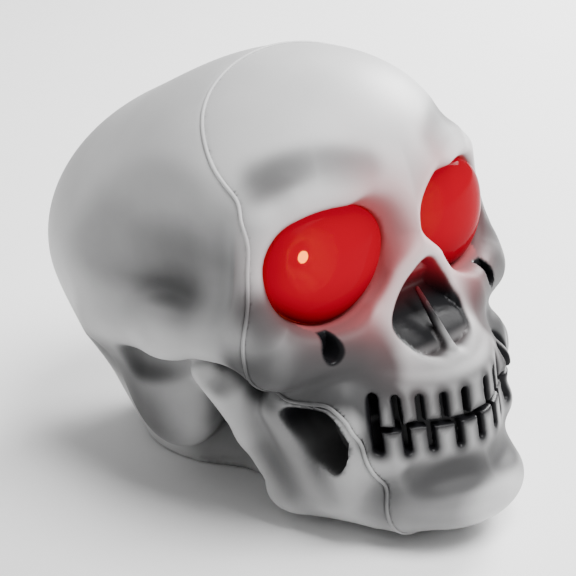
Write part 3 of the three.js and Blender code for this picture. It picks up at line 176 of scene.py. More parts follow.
def inside_outline(outline, u, v):
    """Distance to a closed outline, less than 0 inside it; far points get the distance to its box."""
    low, high = outline.min(axis=0), outline.max(axis=0)
    far = np.maximum(np.maximum(low[0] - u, u - high[0]), np.maximum(low[1] - v, v - high[1]))
    distance = np.maximum(far, 0) + 0.0
    near = np.flatnonzero(far < 6)
    a, b = u[near], v[near]
    least = np.full(len(near), 1e9)
    inside = np.zeros(len(near), bool)
    for (u0, v0), (u1, v1) in zip(outline, np.roll(outline, -1, axis=0)):
        du, dv = u1 - u0, v1 - v0
        share = np.clip(((a - u0) * du + (b - v0) * dv) / (du * du + dv * dv), 0, 1)
        least = np.minimum(least, (a - u0 - share * du) ** 2 + (b - v0 - share * dv) ** 2)
        if dv != 0:
            inside ^= ((v0 > b) != (v1 > b)) & (a < u0 + (b - v0) * du / dv)
    distance[near] = np.sqrt(least) * np.where(inside, -1, 1)
    return distance


def spline(a, b, c, d, share):
    """Points between b and c on a smooth curve through all four."""
    bend = 2 * a - 5 * b + 4 * c - d
    twist = 3 * b - a - 3 * c + d
    return 0.5 * (2 * b + (c - a) * share + bend * share**2 + twist * share**3)


def smooth_outline(points, steps=6):
    """A closed smooth curve through the points."""
    points = np.array(points, float)
    before, after, beyond = (np.roll(points, shift, axis=0) for shift in (1, -1, -2))
    shares = np.linspace(0, 1, steps, endpoint=False)[None, :, None]
    a, b, c, d = (x[:, None, :] for x in (before, points, after, beyond))
    return spline(a, b, c, d, shares).reshape(-1, 2)


def rise(value, low, high):
    """0 below low and 1 above high, with a smooth step between."""
    share = np.clip((value - low) / (high - low), 0, 1)
    return share * share * (3 - 2 * share)


# Form of the skull


def along_arch(p):
    """How far points are in front of the dental arch's ends; the arch leans forward as it goes down."""
    return p[:, 1] - ARCH_FRONT - ARCH_LEAN * (ARCH_LEVEL - p[:, 2])


def dental_ring(p):
    """About the distance to the oval that the teeth stand on."""
    return (np.hypot(p[:, 0] / ARCH_HALF_WIDTH, along_arch(p) / ARCH_LENGTH) - 1) * ARCH_HALF_WIDTH


def head_form(p):
    """The main masses, without the cheek arches, brow, gums and jaw plates."""
    form = egg(p, (0, -26, 82.2), (62.5, 70.5, 51), 20)  # cranium
    form = blend(form, egg(p, (0, 7, 105.6), (55.5, 47, 41.6)), 20)  # forehead
    form = blend(form, limb(p, (0, -34, 46), (0, -25, 0), 47.5, 32), 14)  # back, down to the neck
    form = blend(form, egg(p, (0, 22, 78), (53, 38, 34)), 14)  # middle of the face
    form = blend(form, egg(p, (0, 40, 54), (38, 36, 24)), 10)  # upper jaw
    form = blend(form, egg(p, (0, 46, 22), (34, 38, 20)), 8)  # lower jaw
    form = blend(form, egg(p, (0, 70, 16), (29, 26, 14)), 8)  # chin
    # Core of the base, from the neck to the jaw
    core = np.maximum.reduce([p[:, 0] - 22, np.abs(p[:, 1] - 14) - 46, p[:, 2] - 40])
    return blend(form, core, 6)


def temple(p):
    """The hollow on the side of the head, behind the eye."""
    return egg(p, (70, -4, 94), (17, 38, 27), 12)


def arch_hollows(p):
    """Under the cheek arch, in front of the jaw's rear edge and behind it."""
    ahead = limb(p, (57, 26, 55), (55.5, 16, 52), 4.5, 4.5)
    behind = limb(p, (57, 0, 51.5), (57.5, -17, 48), 5, 5)
    return np.minimum(ahead, behind)


def brow_groove(p):
    inner = limb(p, (18, 54, 128), (34, 44.5, 131), 5, 5)
    outer = limb(p, (34, 44.5, 131), (49.5, 33, 126), 5, 5)
    return np.minimum(inner, outer)


def lip_groove(p):
    return limb(p, (0, 94, 29), (26, 82, 28), 3, 2.4)


def grooved(form, p):
    for groove, radius in ((arch_hollows, 5), (brow_groove, 5), (lip_groove, 6)):
        form = carve(form, groove(p), radius)
    return form


# Limbs that join the head in turn: their ends, the radius at each end, and how far the fillet reaches
CHEEK_AND_BROW = (
    ((28, 51, 67), (50, 43, 67), 10, 10, 9),  # cheekbone
    ((54, 36, 71), (57.5, 0, 65), 7.5, 6.5, 11),  # cheek arch, front
    ((57.5, 0, 65), (51, -36, 58), 6.5, 8.5, 10),  # cheek arch, rear
    ((8, 42, 112), (38, 36, 113), 8, 6.5, 10),  # brow
    ((48, 33, 108), (55, 36, 76), 6, 6, 8),  # outer rim of the eye
    ((0, 44, 105), (0, 53, 90), 5, 5.5, 9),  # bridge of the nose
)
JAW = (
    ((44.5, 26, 33), (50, 10, 53), 5, 5, 4),  # rear edge of the jaw, above
    ((38, 38, 13), (44.5, 26, 33), 5.5, 5, 4),  # rear edge of the jaw, below
    ((36, 40, 14), (46, 22, 50), 6, 6, 6),  # jaw plate, rear
    ((35, 50, 16), (44, 38, 46), 6.5, 6.5, 6),  # jaw plate, middle
    ((33, 61, 18), (36.5, 57.5, 44), 6, 6, 8),  # jaw plate, front
    ((36, 58, 47), (28, 69, 47), 6, 5, 8),  # corner of the mouth, above
    ((33, 61, 32), (27, 71, 34), 6, 5, 8),  # corner of the mouth, below
    ((43, 42, 54), (37, 57, 52), 6, 6, 6),  # between the cheek and the jaw
    ((32, 32, 11), (20, 68, 14), 9, 10, 7),  # lower edge of the jaw
)
GUM_UP = 42
GUM_HALF_HEIGHT = 16


def with_limbs(form, p, limbs):
    for *bar, reach in limbs:
        form = blend(form, limb(p, *bar), reach)
    return form


def skull_form(p):
    """The whole outer form, before any opening is cut."""
    form = carve(head_form(p), temple(p), TEMPLE_BLEND)
    form = with_limbs(form, p, CHEEK_AND_BROW)
    gums = carve(dental_ring(p), GUM_HALF_HEIGHT - np.abs(p[:, 2] - GUM_UP), 4)
    form = with_limbs(blend(form, gums, 6), p, JAW)
    bulge = egg(p, (41, -13, 36), (13, 19, 23))  # behind the ear
    return grooved(blend(form, bulge, 14), p)


# Cuts: each gives the distance to the space that it takes away
turn_cos, turn_sin = math.cos(EYE_TURN), math.sin(EYE_TURN)
tilt_cos, tilt_sin = math.cos(EYE_TILT), math.sin(EYE_TILT)
EYE_AXES = np.array([
    (turn_cos, -turn_sin, 0),
    (-turn_sin * tilt_sin, -turn_cos * tilt_sin, tilt_cos),
    (turn_sin * tilt_cos, turn_cos * tilt_cos, tilt_sin),
])


def eye_frame(p):
    """Across, high and outward of points in the eye's own frame."""
    return EYE_AXES @ (p - (EYE_SIDE, EYE_FRONT, EYE_UP)).T


def eye_outline(across, high):
    """Distance in the eye's plane from its egg outline, which is wider above."""
    width = EYE_HALF_WIDTH * np.clip(1 + EYE_SPREAD * high, 0.7, 1.3)
    near = (np.abs((across + EYE_LEAN * high) / width) ** EYE_SQUARENESS
            + np.abs(high / EYE_HALF_HEIGHT) ** EYE_SQUARENESS) ** (1 / EYE_SQUARENESS)
    return (near - 1) * EYE_HALF_HEIGHT


def eye_hole(p):
    across, high, outward = eye_frame(p)
    proud = np.maximum(outward, 0)
    upper = rise(high, -6, 6)
    flare = EYE_FLARE * proud * upper * rise(-across, 4, 16)
    outline = eye_outline(across - EYE_SHEAR * (1 - upper) * proud, high)
    return np.maximum(outline - EYE_CLEARANCE - flare, -outward - EYE_HOLE_DEPTH)


def eye_collar(p):
    return np.maximum(eye_hole(p) - WALL, -COLLAR_DEPTH - eye_frame(p)[2])


NOSE = smooth_outline([(0, 91), (7, 87), (13, 80), (16, 72), (13, 65), (6, 62), (0, 63),
                       (-6, 62), (-13, 65), (-16, 72), (-13, 80), (-7, 87)])
CHEEK = smooth_outline([(43, 48), (50, 50), (57, 50.4), (61, 47.2), (62.6, 42), (63.2, 36),
                        (62, 31), (58.5, 27.8), (54, 29.2), (49.5, 33), (46, 40)])
FORAMEN = smooth_outline([(38.6, 77.4), (41.6, 73.5), (43, 70), (41.6, 67.2),
                          (39, 67.4), (37.4, 70.5), (37.6, 74)])


def nose_hole(p):
    """The nose's opening, which narrows inward and is shallow at its foot."""
    floor = 52 + 17 * rise(-p[:, 2], -78, -62) + 4 * rise(p[:, 2], 78, 86)
    taper = 0.5 * np.clip(61 - p[:, 1], 0, 12)
    return np.maximum(inside_outline(NOSE, p[:, 0], p[:, 2]) + taper, floor - p[:, 1])


def cheek_hole(p):
    """The window under the cheek, cut from the side."""
    return np.maximum(inside_outline(CHEEK, p[:, 1], p[:, 2]), 28 - p[:, 0])


def foramen_hole(p):
    """The small drop-shaped hole under the eye, cut from the front."""
    return np.maximum(inside_outline(FORAMEN, p[:, 0], p[:, 2]), 51 - p[:, 1])


def tooth_gaps(p):
    """The bite line and the slots between the teeth, down to their relief under the dental arch."""
    turn = np.degrees(np.arctan2(p[:, 0] / ARCH_HALF_WIDTH, along_arch(p) / ARCH_LENGTH))
    radians = np.radians(turn)
    per_radian = np.hypot(ARCH_HALF_WIDTH * np.cos(radians), ARCH_LENGTH * np.sin(radians))
    per_degree = per_radian * math.pi / 180
    high = p[:, 2] - BITE_UP - BITE_LIFT * (np.abs(turn) / MOUTH_CORNER) ** 3
    past_corner = (turn - MOUTH_CORNER) * per_degree
    gaps = np.maximum(np.abs(high) - BITE_OPENING / 2, past_corner)

    def slot(degrees, width, low, top):
        half = width / 2
        beyond = np.maximum(np.maximum(low + half - high, high - top + half), 0)
        return np.hypot((turn - degrees) * per_degree, beyond) - half

    for degrees in UPPER_GAPS:
        gaps = np.minimum(gaps, slot(degrees, TOOTH_GAP, 0, UPPER_TOOTH))
    for degrees in LOWER_GAPS:
        gaps = np.minimum(gaps, slot(degrees, TOOTH_GAP, -LOWER_TOOTH, 0))
    gaps = np.minimum(gaps, slot(MOUTH_CORNER, CORNER_GAP, -LOWER_TOOTH, UPPER_TOOTH))
    behind = np.where(along_arch(p) > 0, -TOOTH_RELIEF - dental_ring(p), 1e3)
    return np.maximum(gaps, behind)


# Seam, in the side view: over the crown, behind the eye, under the cheek and down the jaw
SEAM = np.array([(-28, 175), (-8, 144), (12, 126), (32, 109), (36, 94), (40, 72), (40.5, 61), (44.5, 53.4),
                 (51, 52.6), (58, 53), (63, 49.4), (65.2, 43), (67, 37), (70, 28.4), (72.4, 14.6), (77, -20)])


def seam_curve():
    points = np.vstack([2 * SEAM[0] - SEAM[1], SEAM, 2 * SEAM[-1] - SEAM[-2]])
    shares = np.linspace(0, 1, 5, endpoint=False)[:, None]
    curve = [spline(*four, shares) for four in zip(points, points[1:], points[2:], points[3:])]
    return np.vstack(curve + [SEAM[-1:]])


def seam_distance(p):
    """Distance to the seam in the side view, more than 0 in front of it."""
    curve = seam_curve()
    front, up = p[:, 1], p[:, 2]
    least = np.full(len(p), 1e9)
    ahead = np.zeros(len(p), bool)
    outline = np.vstack([curve, (400, -20), (400, 175)])
    for k, ((f0, u0), (f1, u1)) in enumerate(zip(outline, np.roll(outline, -1, axis=0))):
        df, du = f1 - f0, u1 - u0
        if k < len(curve) - 1:
            share = np.clip(((front - f0) * df + (up - u0) * du) / (df * df + du * du), 0, 1)
            least = np.minimum(least, (front - f0 - share * df) ** 2 + (up - u0 - share * du) ** 2)
        if du != 0:
            ahead ^= ((u0 > up) != (u1 > up)) & (front < f0 + (up - u0) * df / du)
    return np.sqrt(least) * np.where(ahead, 1, -1)


def seam_loop(spacing):
    """Evenly spaced points (x, y, z) all round the head where the seam meets the skin."""
    curve = seam_curve()
    run = np.concatenate([[0], np.cumsum(np.linalg.norm(np.diff(curve, axis=0), axis=1))])
    fine = np.arange(0, run[-1], spacing / 4)
    front, up = (np.interp(fine, run, curve[:, k]) for k in (0, 1))
    sides = np.arange(0, 80, 0.5)
    points = np.stack(np.broadcast_arrays(sides[None, :], front[:, None], up[:, None]), axis=-1)
    form = skull_form(points.reshape(-1, 3)).reshape(len(fine), len(sides))
    met = (form < 0).any(axis=1)
    form, front, up = form[met], front[met], up[met]
    last = len(sides) - 1 - np.argmax(form[:, ::-1] < 0, axis=1)
    rows = np.arange(len(form))
    near, far = form[rows, last], form[rows, last + 1]
    side = sides[last] + 0.5 * near / (near - far)
    half = np.stack([side, -front, up], axis=1)
    loop = np.concatenate([half, half[::-1] * (-1, 1, 1), half[:1]])
    run = np.concatenate([[0], np.cumsum(np.linalg.norm(np.diff(loop, axis=0), axis=1))])
    even = np.linspace(0, run[-1], round(run[-1] / spacing), endpoint=False)
    return np.stack([np.interp(even, run, loop[:, k]) for k in range(3)], axis=1)


def seam_bead(sides=10):
    """The raised edge of the face shell along the seam: rings of corners and their quads."""
    skin = in_halves(skull_form)
    middle = seam_loop(BEAD_STEP)
    for _ in range(3):
        upward = slopes(skin, middle)
        middle = middle - skin(middle)[:, None] * upward
    ahead = np.roll(middle, -1, axis=0) - np.roll(middle, 1, axis=0)
    ahead /= np.linalg.norm(ahead, axis=1)[:, None]
    across = np.cross(upward, ahead)
    forward = seam_distance(mirrored_side(middle + across)) - seam_distance(mirrored_side(middle))
    across *= np.sign(forward)[:, None]
    turns = np.arange(sides) * 2 * math.pi / sides
    outward = np.cos(turns)[:, None] * across[:, None, :] + np.sin(turns)[:, None] * upward[:, None, :]
    rings = (middle + BEAD_SHIFT * across)[:, None, :] + BEAD_RADIUS * outward
    ring = np.arange(len(middle))[:, None] * sides
    after = np.roll(ring, -1, axis=0)
    here = np.arange(sides)[None, :]
    following = (here + 1) % sides
    quads = np.stack([ring + here, after + here, after + following, ring + following], axis=-1)
    return rings.reshape(-1, 3), quads.reshape(-1, 4), np.repeat(upward, sides, axis=0)


def hollow(p):
    """The space inside the shells, a wall's thickness within the main masses."""
    form = grooved(carve(head_form(p), temple(p), TEMPLE_BLEND), p)
    return np.maximum(form + WALL, WALL - p[:, 2])


def vomer(p):
    """The thin ridge in the middle of the nose."""
    return limb(p, (0, 57, 79), (0, 71, 63), 0.8, 1.8)


def face_field(p):
    """The face shell: in front of the seam, hollow behind, and cut for the openings."""
    form = skull_form(p)
    form = carve(form, eye_hole(p), 4)
    nose = nose_hole(p)
    form = blend(carve(form, nose, 2.5), vomer(p), 2)
    foramen = foramen_hole(p)
    form = carve(form, foramen, 1)
    form = carve(form, tooth_gaps(p), 1.4)
    walls = [WALL - hole for hole in (nose, foramen, cheek_hole(p))]
    room = np.maximum.reduce([hollow(p), *walls, -eye_collar(p)])
    form = carve(np.maximum(form, -room), seam_distance(p) - SEAM_GAP / 2, SEAM_ROUNDING)
    return carve(form, p[:, 2], BASE_ROUNDING)


def span(middle, half):
    return (middle - half, middle + half)


def cranium_field(p):
    """The cranium shell: behind the seam, open for the door, its hinge, the switch and screws."""
    form = skull_form(p)
    cheek = cheek_hole(p)
    form = carve(form, cheek, 1.6)
    room = np.maximum(hollow(p), WALL - cheek)
    hinge_rest = span(HINGE_FRONT, HINGE_REST)
    pocket_walls = span(POCKET_FRONT, POCKET_HALF_WIDTH + WALL)
    for lump in (
        box(p, span(0, POCKET_HALF_LENGTH + WALL), pocket_walls, (0, WEB_TOP)),
        box(p, span(0, NOTCH_HALF_WIDTH + 1.2), (BAY_FRONT + 1.9, NOTCH_FRONT + WALL), (0, NOTCH_TOP + WALL)),
        box(p, (HINGE_HALF_WIDTH, HINGE_HALF_WIDTH + HINGE_CHEEK), hinge_rest, (0, HINGE_CHEEK_TOP)),
        post(p, SCREW_SIDE, SCREW_FRONT, SCREW_PAD_RADIUS, SCREW_PAD_TOP),
    ):
        room = np.maximum(room, -lump)
    form = np.maximum(form, -room)
    for cut in (
        box(p, span(0, BAY_HALF_WIDTH), (BAY_REAR, BAY_FRONT), (BELOW, WALL + 1)),
        box(p, span(0, HINGE_HALF_WIDTH), (hinge_rest[0], BAY_REAR + 1), (BELOW, WALL + 1)),
        box(p, span(0, NOTCH_HALF_WIDTH), (BAY_FRONT - 1, NOTCH_FRONT), (BELOW, NOTCH_TOP)),
        box(p, span(0, POCKET_HALF_LENGTH), span(POCKET_FRONT, POCKET_HALF_WIDTH), (BELOW, POCKET_TOP)),
        box(p, span(0, SLOT_HALF_LENGTH), span(POCKET_FRONT, SLOT_HALF_WIDTH), (BELOW, WEB_TOP + 1)),
        post(p, SCREW_SIDE, SCREW_FRONT, SCREW_HEAD_HOLE, SCREW_HEAD_TOP),
        post(p, SCREW_SIDE, SCREW_FRONT, SCREW_HOLE, SCREW_PAD_TOP + 1),
    ):
        form = np.maximum(form, -cut)
    form = carve(form, -seam_distance(p) - SEAM_GAP / 2, SEAM_ROUNDING)
    return carve(form, p[:, 2], BASE_ROUNDING)


# Meshing: a field below 0 inside the plastic becomes quads, with a corner in each cell that the skin crosses
ROUGH_BLOCK = 6
BATCH = 200000
FLATTEST = 0.04
CORNER_PULL = 0.75


def mirrored_side(points):
    """Points (x, y, z) as side, front and up."""
    return np.stack([np.abs(points[:, 0]), -points[:, 1], points[:, 2]], axis=1)


def in_halves(field):
    """The field on points (x, y, z), which is the same on both sides."""
    return lambda points: field(mirrored_side(points))


def in_batches(work, points):
    return np.concatenate([work(part) for part in np.array_split(points, 1 + len(points) // BATCH)])


def sampled(field, axes, step):
    """The field on a grid, exact near the skin and rough elsewhere; only one side is worked out."""
    half_axes = (axes[0][len(axes[0]) // 2:], axes[1], axes[2])
    blocks = [axis[ROUGH_BLOCK // 2::ROUGH_BLOCK] for axis in half_axes]
    middles = np.stack(np.meshgrid(*blocks, indexing="ij"), axis=-1)
    coarse = field(middles.reshape(-1, 3)).reshape(middles.shape[:3])
    where = [np.minimum(np.arange(len(axis)) // ROUGH_BLOCK, len(block) - 1)
             for axis, block in zip(half_axes, blocks)]
    values = coarse[np.ix_(*where)].astype(np.float32)
    near = np.argwhere(np.abs(values) < 1.2 * ROUGH_BLOCK * step)
    points = np.stack([axis[near[:, k]] for k, axis in enumerate(half_axes)], axis=1)
    values[tuple(near.T)] = in_batches(field, points)
    return np.concatenate([values[::-1], values], axis=0)


def skin_mesh(field, low, high, step):
    """Corners and quads of the skin where a field is 0; corners fit its slopes."""
    field = in_halves(field)
    columns = math.ceil(high[0] / step) + 1
    axes = [(np.arange(-columns, columns) + 0.5) * step]
    axes += [np.arange(low[k], high[k] + 2 * step, step) for k in (1, 2)]
    values = sampled(field, axes, step)
    cells = np.array(values.shape)
    sums = [[], [], []]
    quads = []
    for axis in range(3):
        ends = [slice(None)] * 3
        starts = [slice(None)] * 3
        starts[axis], ends[axis] = slice(None, -1), slice(1, None)
        a, b = values[tuple(starts)], values[tuple(ends)]
        edges = np.argwhere((a < 0) != (b < 0))
        others = [k for k in range(3) if k != axis]
        inner = (edges[:, others] > 0) & (edges[:, others] < cells[others] - 1)
        edges = edges[inner.all(axis=1)]
        here = tuple(edges.T)
        share = a[here] / (a[here] - b[here])
        points = np.stack([axes[k][edges[:, k]] for k in range(3)], axis=1)
        points[:, axis] += share * step
        normals = slopes(field, points)
        around = []
        for back in ((1, 1), (0, 1), (0, 0), (1, 0)):
            cell = edges.copy()
            cell[:, others[0]] -= back[0]
            cell[:, others[1]] -= back[1]
            around.append(np.ravel_multi_index(tuple(cell.T), values.shape))
            sums[0].append(around[-1])
            sums[1].append(points)
            sums[2].append(normals)
        ring = np.stack(around, axis=1)
        turned = (a[here] < 0) ^ (axis == 1)
        quads.append(np.where(turned[:, None], ring, ring[:, ::-1]))
    cell, points, normals = (np.concatenate(part) for part in sums)
    used, cell = np.unique(cell, return_inverse=True)
    count = np.bincount(cell)

    def total(weights):
        return np.bincount(cell, weights)

    middle = np.stack([total(points[:, k]) / count for k in range(3)], axis=1)
    local = points - middle[cell]
    reach = np.einsum("ij,ij->i", normals, local)
    right = np.stack([total(normals[:, k] * reach) for k in range(3)], axis=1)
    matrix = np.stack([np.stack([total(normals[:, j] * normals[:, k]) for k in range(3)], axis=1)
                       for j in range(3)], axis=1)
    sizes, ways = np.linalg.eigh(matrix / count[:, None, None])
    along = np.einsum("nji,nj->ni", ways, right / count[:, None])
    along = np.where(sizes > FLATTEST, along / np.maximum(sizes, FLATTEST), 0)
    shift = np.einsum("nij,nj->ni", ways, along)
    corners = middle + np.clip(shift, -CORNER_PULL * step, CORNER_PULL * step)
    return corners, np.searchsorted(used, np.concatenate(quads))


def slopes(field, points, nudge=0.05):
    """The field's upward direction at each point."""
    def rises(part):
        return np.stack([field(part + nudge * way) - field(part - nudge * way) for way in np.eye(3)], axis=1)

    normals = in_batches(rises, points)
    return normals / np.maximum(np.linalg.norm(normals, axis=1), 1e-9)[:, None]


def smooth_faces(mesh):
    mesh.polygons.foreach_set("use_smooth", [True] * len(mesh.polygons))
    mesh.set_sharp_from_angle(angle=SHARP_EDGE)


def mesh_piece(name, corners, faces, attributes=None):
    """An object in metres from corners in millimetres, with one number per corner for each attribute."""
    mesh = bpy.data.meshes.new(name)
    mesh.from_pydata((np.asarray(corners) * MM).tolist(), [], [list(face) for face in faces])
    mesh.update()
    for label, numbers in (attributes or {}).items():
        layer = mesh.attributes.new(label, "FLOAT", "POINT")
        layer.data.foreach_set("value", np.asarray(numbers, np.float32))
    smooth_faces(mesh)
    piece = bpy.data.objects.new(name, mesh)
    bpy.context.scene.collection.objects.link(piece)
    return piece


# Materials


class Nodes:
    """A material's node tree, built a node at a time."""

    def __init__(self, name):
        self.material = bpy.data.materials.new(name)
        self.material.use_nodes = True
        self.tree = self.material.node_tree
        self.shader = self.tree.nodes["Principled BSDF"]

    def put(self, kind, **settings):
        node = self.tree.nodes.new(kind)
        for key, value in settings.items():
            setattr(node, key, value)
        return node

    def join(self, source, target):
        self.tree.links.new(source, target)

    def fill(self, socket, value):
        """Sets a socket to a number or colour, or joins it to another node's output."""
        if isinstance(value, tuple):
            socket.default_value = (*value, 1)
        elif isinstance(value, (int, float)):
            socket.default_value = value
        else:
            self.join(value, socket)

    def attribute(self, name):
        return self.put("ShaderNodeAttribute", attribute_name=name).outputs["Fac"]

    def steps(self, value, low, high, out_low=0.0, out_high=1.0):
        node = self.put("ShaderNodeMapRange", interpolation_type="SMOOTHSTEP")
        sockets = ("Value", "From Min", "From Max", "To Min", "To Max")
        for key, given in zip(sockets, (value, low, high, out_low, out_high)):
            self.fill(node.inputs[key], given)
        return node.outputs["Result"]

    def math(self, operation, a, b):
        node = self.put("ShaderNodeMath", operation=operation)
        for socket, value in zip(node.inputs, (a, b)):
            self.fill(socket, value)
        return node.outputs[0]

    def mix(self, share, a, b):
        node = self.put("ShaderNodeMix", data_type="RGBA")
        for socket, value in zip((node.inputs[0], node.inputs[6], node.inputs[7]), (share, a, b)):
            self.fill(socket, value)
        return node.outputs[2]

    def ragged(self, name, scale, detail, amount):
        """An attribute whose level wavers a little."""
        waver = self.math("SUBTRACT", self.noise(scale, detail), 0.5)
        return self.math("ADD", self.attribute(name), self.math("MULTIPLY", waver, amount))

    def noise(self, scale, detail=3.0):
        node = self.put("ShaderNodeTexNoise")
        node.inputs["Scale"].default_value = scale
        node.inputs["Detail"].default_value = detail
        node.inputs["Roughness"].default_value = 0.5
        self.join(self.put("ShaderNodeTexCoord").outputs["Object"], node.inputs["Vector"])
        return node.outputs["Fac"]

    def bump(self, height, strength, distance):
        node = self.put("ShaderNodeBump")
        node.inputs["Strength"].default_value = strength
        node.inputs["Distance"].default_value = distance
        self.join(height, node.inputs["Height"])
        self.join(node.outputs["Normal"], self.shader.inputs["Normal"])

    def set(self, **values):
        for key, value in values.items():
            self.fill(self.shader.inputs[key.replace("_", " ")], value)
        return self.material


BONE_LIGHT = (0.53, 0.53, 0.53)
BONE_DARK = (0.46, 0.46, 0.463)
# Grey of the painted shade, pink of the painted light round the eyes, black paint, and red of the painted
# light in the nose
PAINTED_SHADE_GREY = (0.05, 0.05, 0.051)
PAINTED_EYE_LIGHT_PINK = (0.5, 0.09, 0.1)
PAINT_BLACK = (0.006, 0.006, 0.007)
PAINTED_NOSE_LIGHT_RED = (0.2, 0.006, 0.012)


def bone_material():
    """Bone plastic with painted grey shade, painted pink light round the eyes, and black paint in the
    openings.
    """
    n = Nodes("bone_plastic")
    cloud = n.noise(22, 4)
    speck = n.noise(900, 2)
    pale = n.mix(n.steps(cloud, 0.3, 0.7), BONE_DARK, BONE_LIGHT)
    # Painted grey shade, wavering a little
    painted_shade = n.ragged("painted_shade", 60, 4, 0.12)
    # Painted pink light from the eyes, over the bone and its painted shade
    lit = n.mix(n.attribute("painted_eye_light"), n.mix(n.steps(painted_shade, 0, 1), pale, PAINTED_SHADE_GREY), PAINTED_EYE_LIGHT_PINK)
    edge = n.ragged("paint", 260, 3, 0.5)
    black = n.math("MULTIPLY", n.steps(edge, 0.3, 1.5, 1, 0), n.attribute("cover"))
    # Black paint, with painted red light on it high in the nose
    colour = n.mix(black, lit, n.mix(n.attribute("painted_nose_light"), PAINT_BLACK, PAINTED_NOSE_LIGHT_RED))
    gloss = n.steps(black, 0, 1, 0.4, 0.3)
    n.set(Specular_IOR_Level=n.steps(n.math("MAXIMUM", black, painted_shade), 0, 1, 0.45, 0.12))
    n.bump(speck, 0.12, 0.0002)
    return n.set(Base_Color=colour, Roughness=n.math("ADD", n.math("MULTIPLY", cloud, 0.12), gloss))


# Lit red and body red of the lens, each with its painted shade, and the tint of the lamp seen through
LENS_LIT = (0.6, 0.0, 0.018)
LENS_PAINTED_DIM = (0.05, 0.0, 0.002)
LENS_RED = (0.05, 0.0, 0.001)
LENS_PAINTED_SHADE = (0.02, 0.0, 0.0)
LENS_TINT = (1.0, 0.6, 0.25)


def lens_material():
    """Red plastic lit from within, dimmed and darkened by painted shade towards its rim and its lower side,
    through which the lamp shows a little.
    """
    n = Nodes("red_lens")
    # Painted shade on the lens, from its depth layer
    depth = n.attribute("depth")
    n.set(Emission_Color=n.mix(depth, LENS_LIT, LENS_PAINTED_DIM), Emission_Strength=1.0)
    n.set(Base_Color=n.mix(depth, LENS_RED, LENS_PAINTED_SHADE), Roughness=0.06, IOR=1.04)
    clear = n.put("ShaderNodeBsdfTransparent")
    n.fill(clear.inputs["Color"], LENS_TINT)
    both = n.put("ShaderNodeMixShader")
    n.join(n.attribute("clear"), both.inputs["Fac"])
    n.join(n.shader.outputs[0], both.inputs[1])
    n.join(clear.outputs[0], both.inputs[2])
    n.join(both.outputs[0], n.tree.nodes["Material Output"].inputs["Surface"])
    return n.material


def lit_material(name, colour, light, strength):
    n = Nodes(name)
    tint = n.mix(n.noise(300), tuple(0.8 * c for c in colour), colour)
    return n.set(Base_Color=tint, Emission_Color=light, Emission_Strength=strength, Roughness=0.1)


def surface_group():
    """Shared by all plain pieces: a cloudy tint, a fine grain and a gloss that varies a little."""
    tree = bpy.data.node_groups.new("moulded_surface", "ShaderNodeTree")
    inputs = {"Light": "Color", "Dark": "Color", "Gloss": "Float", "Grain": "Float", "Depth": "Float"}
    for label, kind in inputs.items():
        tree.interface.new_socket(label, in_out="INPUT", socket_type="NodeSocket" + kind)
    for label, kind in (("Colour", "Color"), ("Roughness", "Float"), ("Normal", "Vector")):
        tree.interface.new_socket(label, in_out="OUTPUT", socket_type="NodeSocket" + kind)
    given, result = tree.nodes.new("NodeGroupInput"), tree.nodes.new("NodeGroupOutput")
    place = tree.nodes.new("ShaderNodeTexCoord")
    cloud, grain = tree.nodes.new("ShaderNodeTexNoise"), tree.nodes.new("ShaderNodeTexNoise")
    cloud.inputs["Scale"].default_value = 60
    tint = tree.nodes.new("ShaderNodeMix")
    tint.data_type = "RGBA"
    gloss = tree.nodes.new("ShaderNodeMath")
    gloss.operation = "MULTIPLY_ADD"
    gloss.inputs[1].default_value = 0.1
    bump = tree.nodes.new("ShaderNodeBump")
    bump.inputs["Distance"].default_value = 0.0002
    for source, target in (
        (place.outputs["Object"], cloud.inputs["Vector"]),
        (place.outputs["Object"], grain.inputs["Vector"]),
        (given.outputs["Grain"], grain.inputs["Scale"]),
        (cloud.outputs["Fac"], tint.inputs[0]),
        (given.outputs["Dark"], tint.inputs[6]),
        (given.outputs["Light"], tint.inputs[7]),
        (cloud.outputs["Fac"], gloss.inputs[0]),
        (given.outputs["Gloss"], gloss.inputs[2]),
        (grain.outputs["Fac"], bump.inputs["Height"]),
        (given.outputs["Depth"], bump.inputs["Strength"]),
        (tint.outputs[2], result.inputs["Colour"]),
        (gloss.outputs[0], result.inputs["Roughness"]),
        (bump.outputs["Normal"], result.inputs["Normal"]),
    ):
        tree.links.new(source, target)
    return tree


SURFACE = surface_group()


def plain_material(name, colour, roughness, metal=0.0, grain=400, depth=0.1, shade=0.8):
    n = Nodes(name)
    surface = n.put("ShaderNodeGroup", node_tree=SURFACE)
    surface.inputs["Light"].default_value = (*colour, 1)
    surface.inputs["Dark"].default_value = (*(shade * c for c in colour), 1)
    surface.inputs["Gloss"].default_value = roughness - 0.05
    surface.inputs["Grain"].default_value = grain
    surface.inputs["Depth"].default_value = depth
    n.join(surface.outputs["Normal"], n.shader.inputs["Normal"])
    n.set(Base_Color=surface.outputs["Colour"], Roughness=surface.outputs["Roughness"])
    return n.set(Metallic=metal)


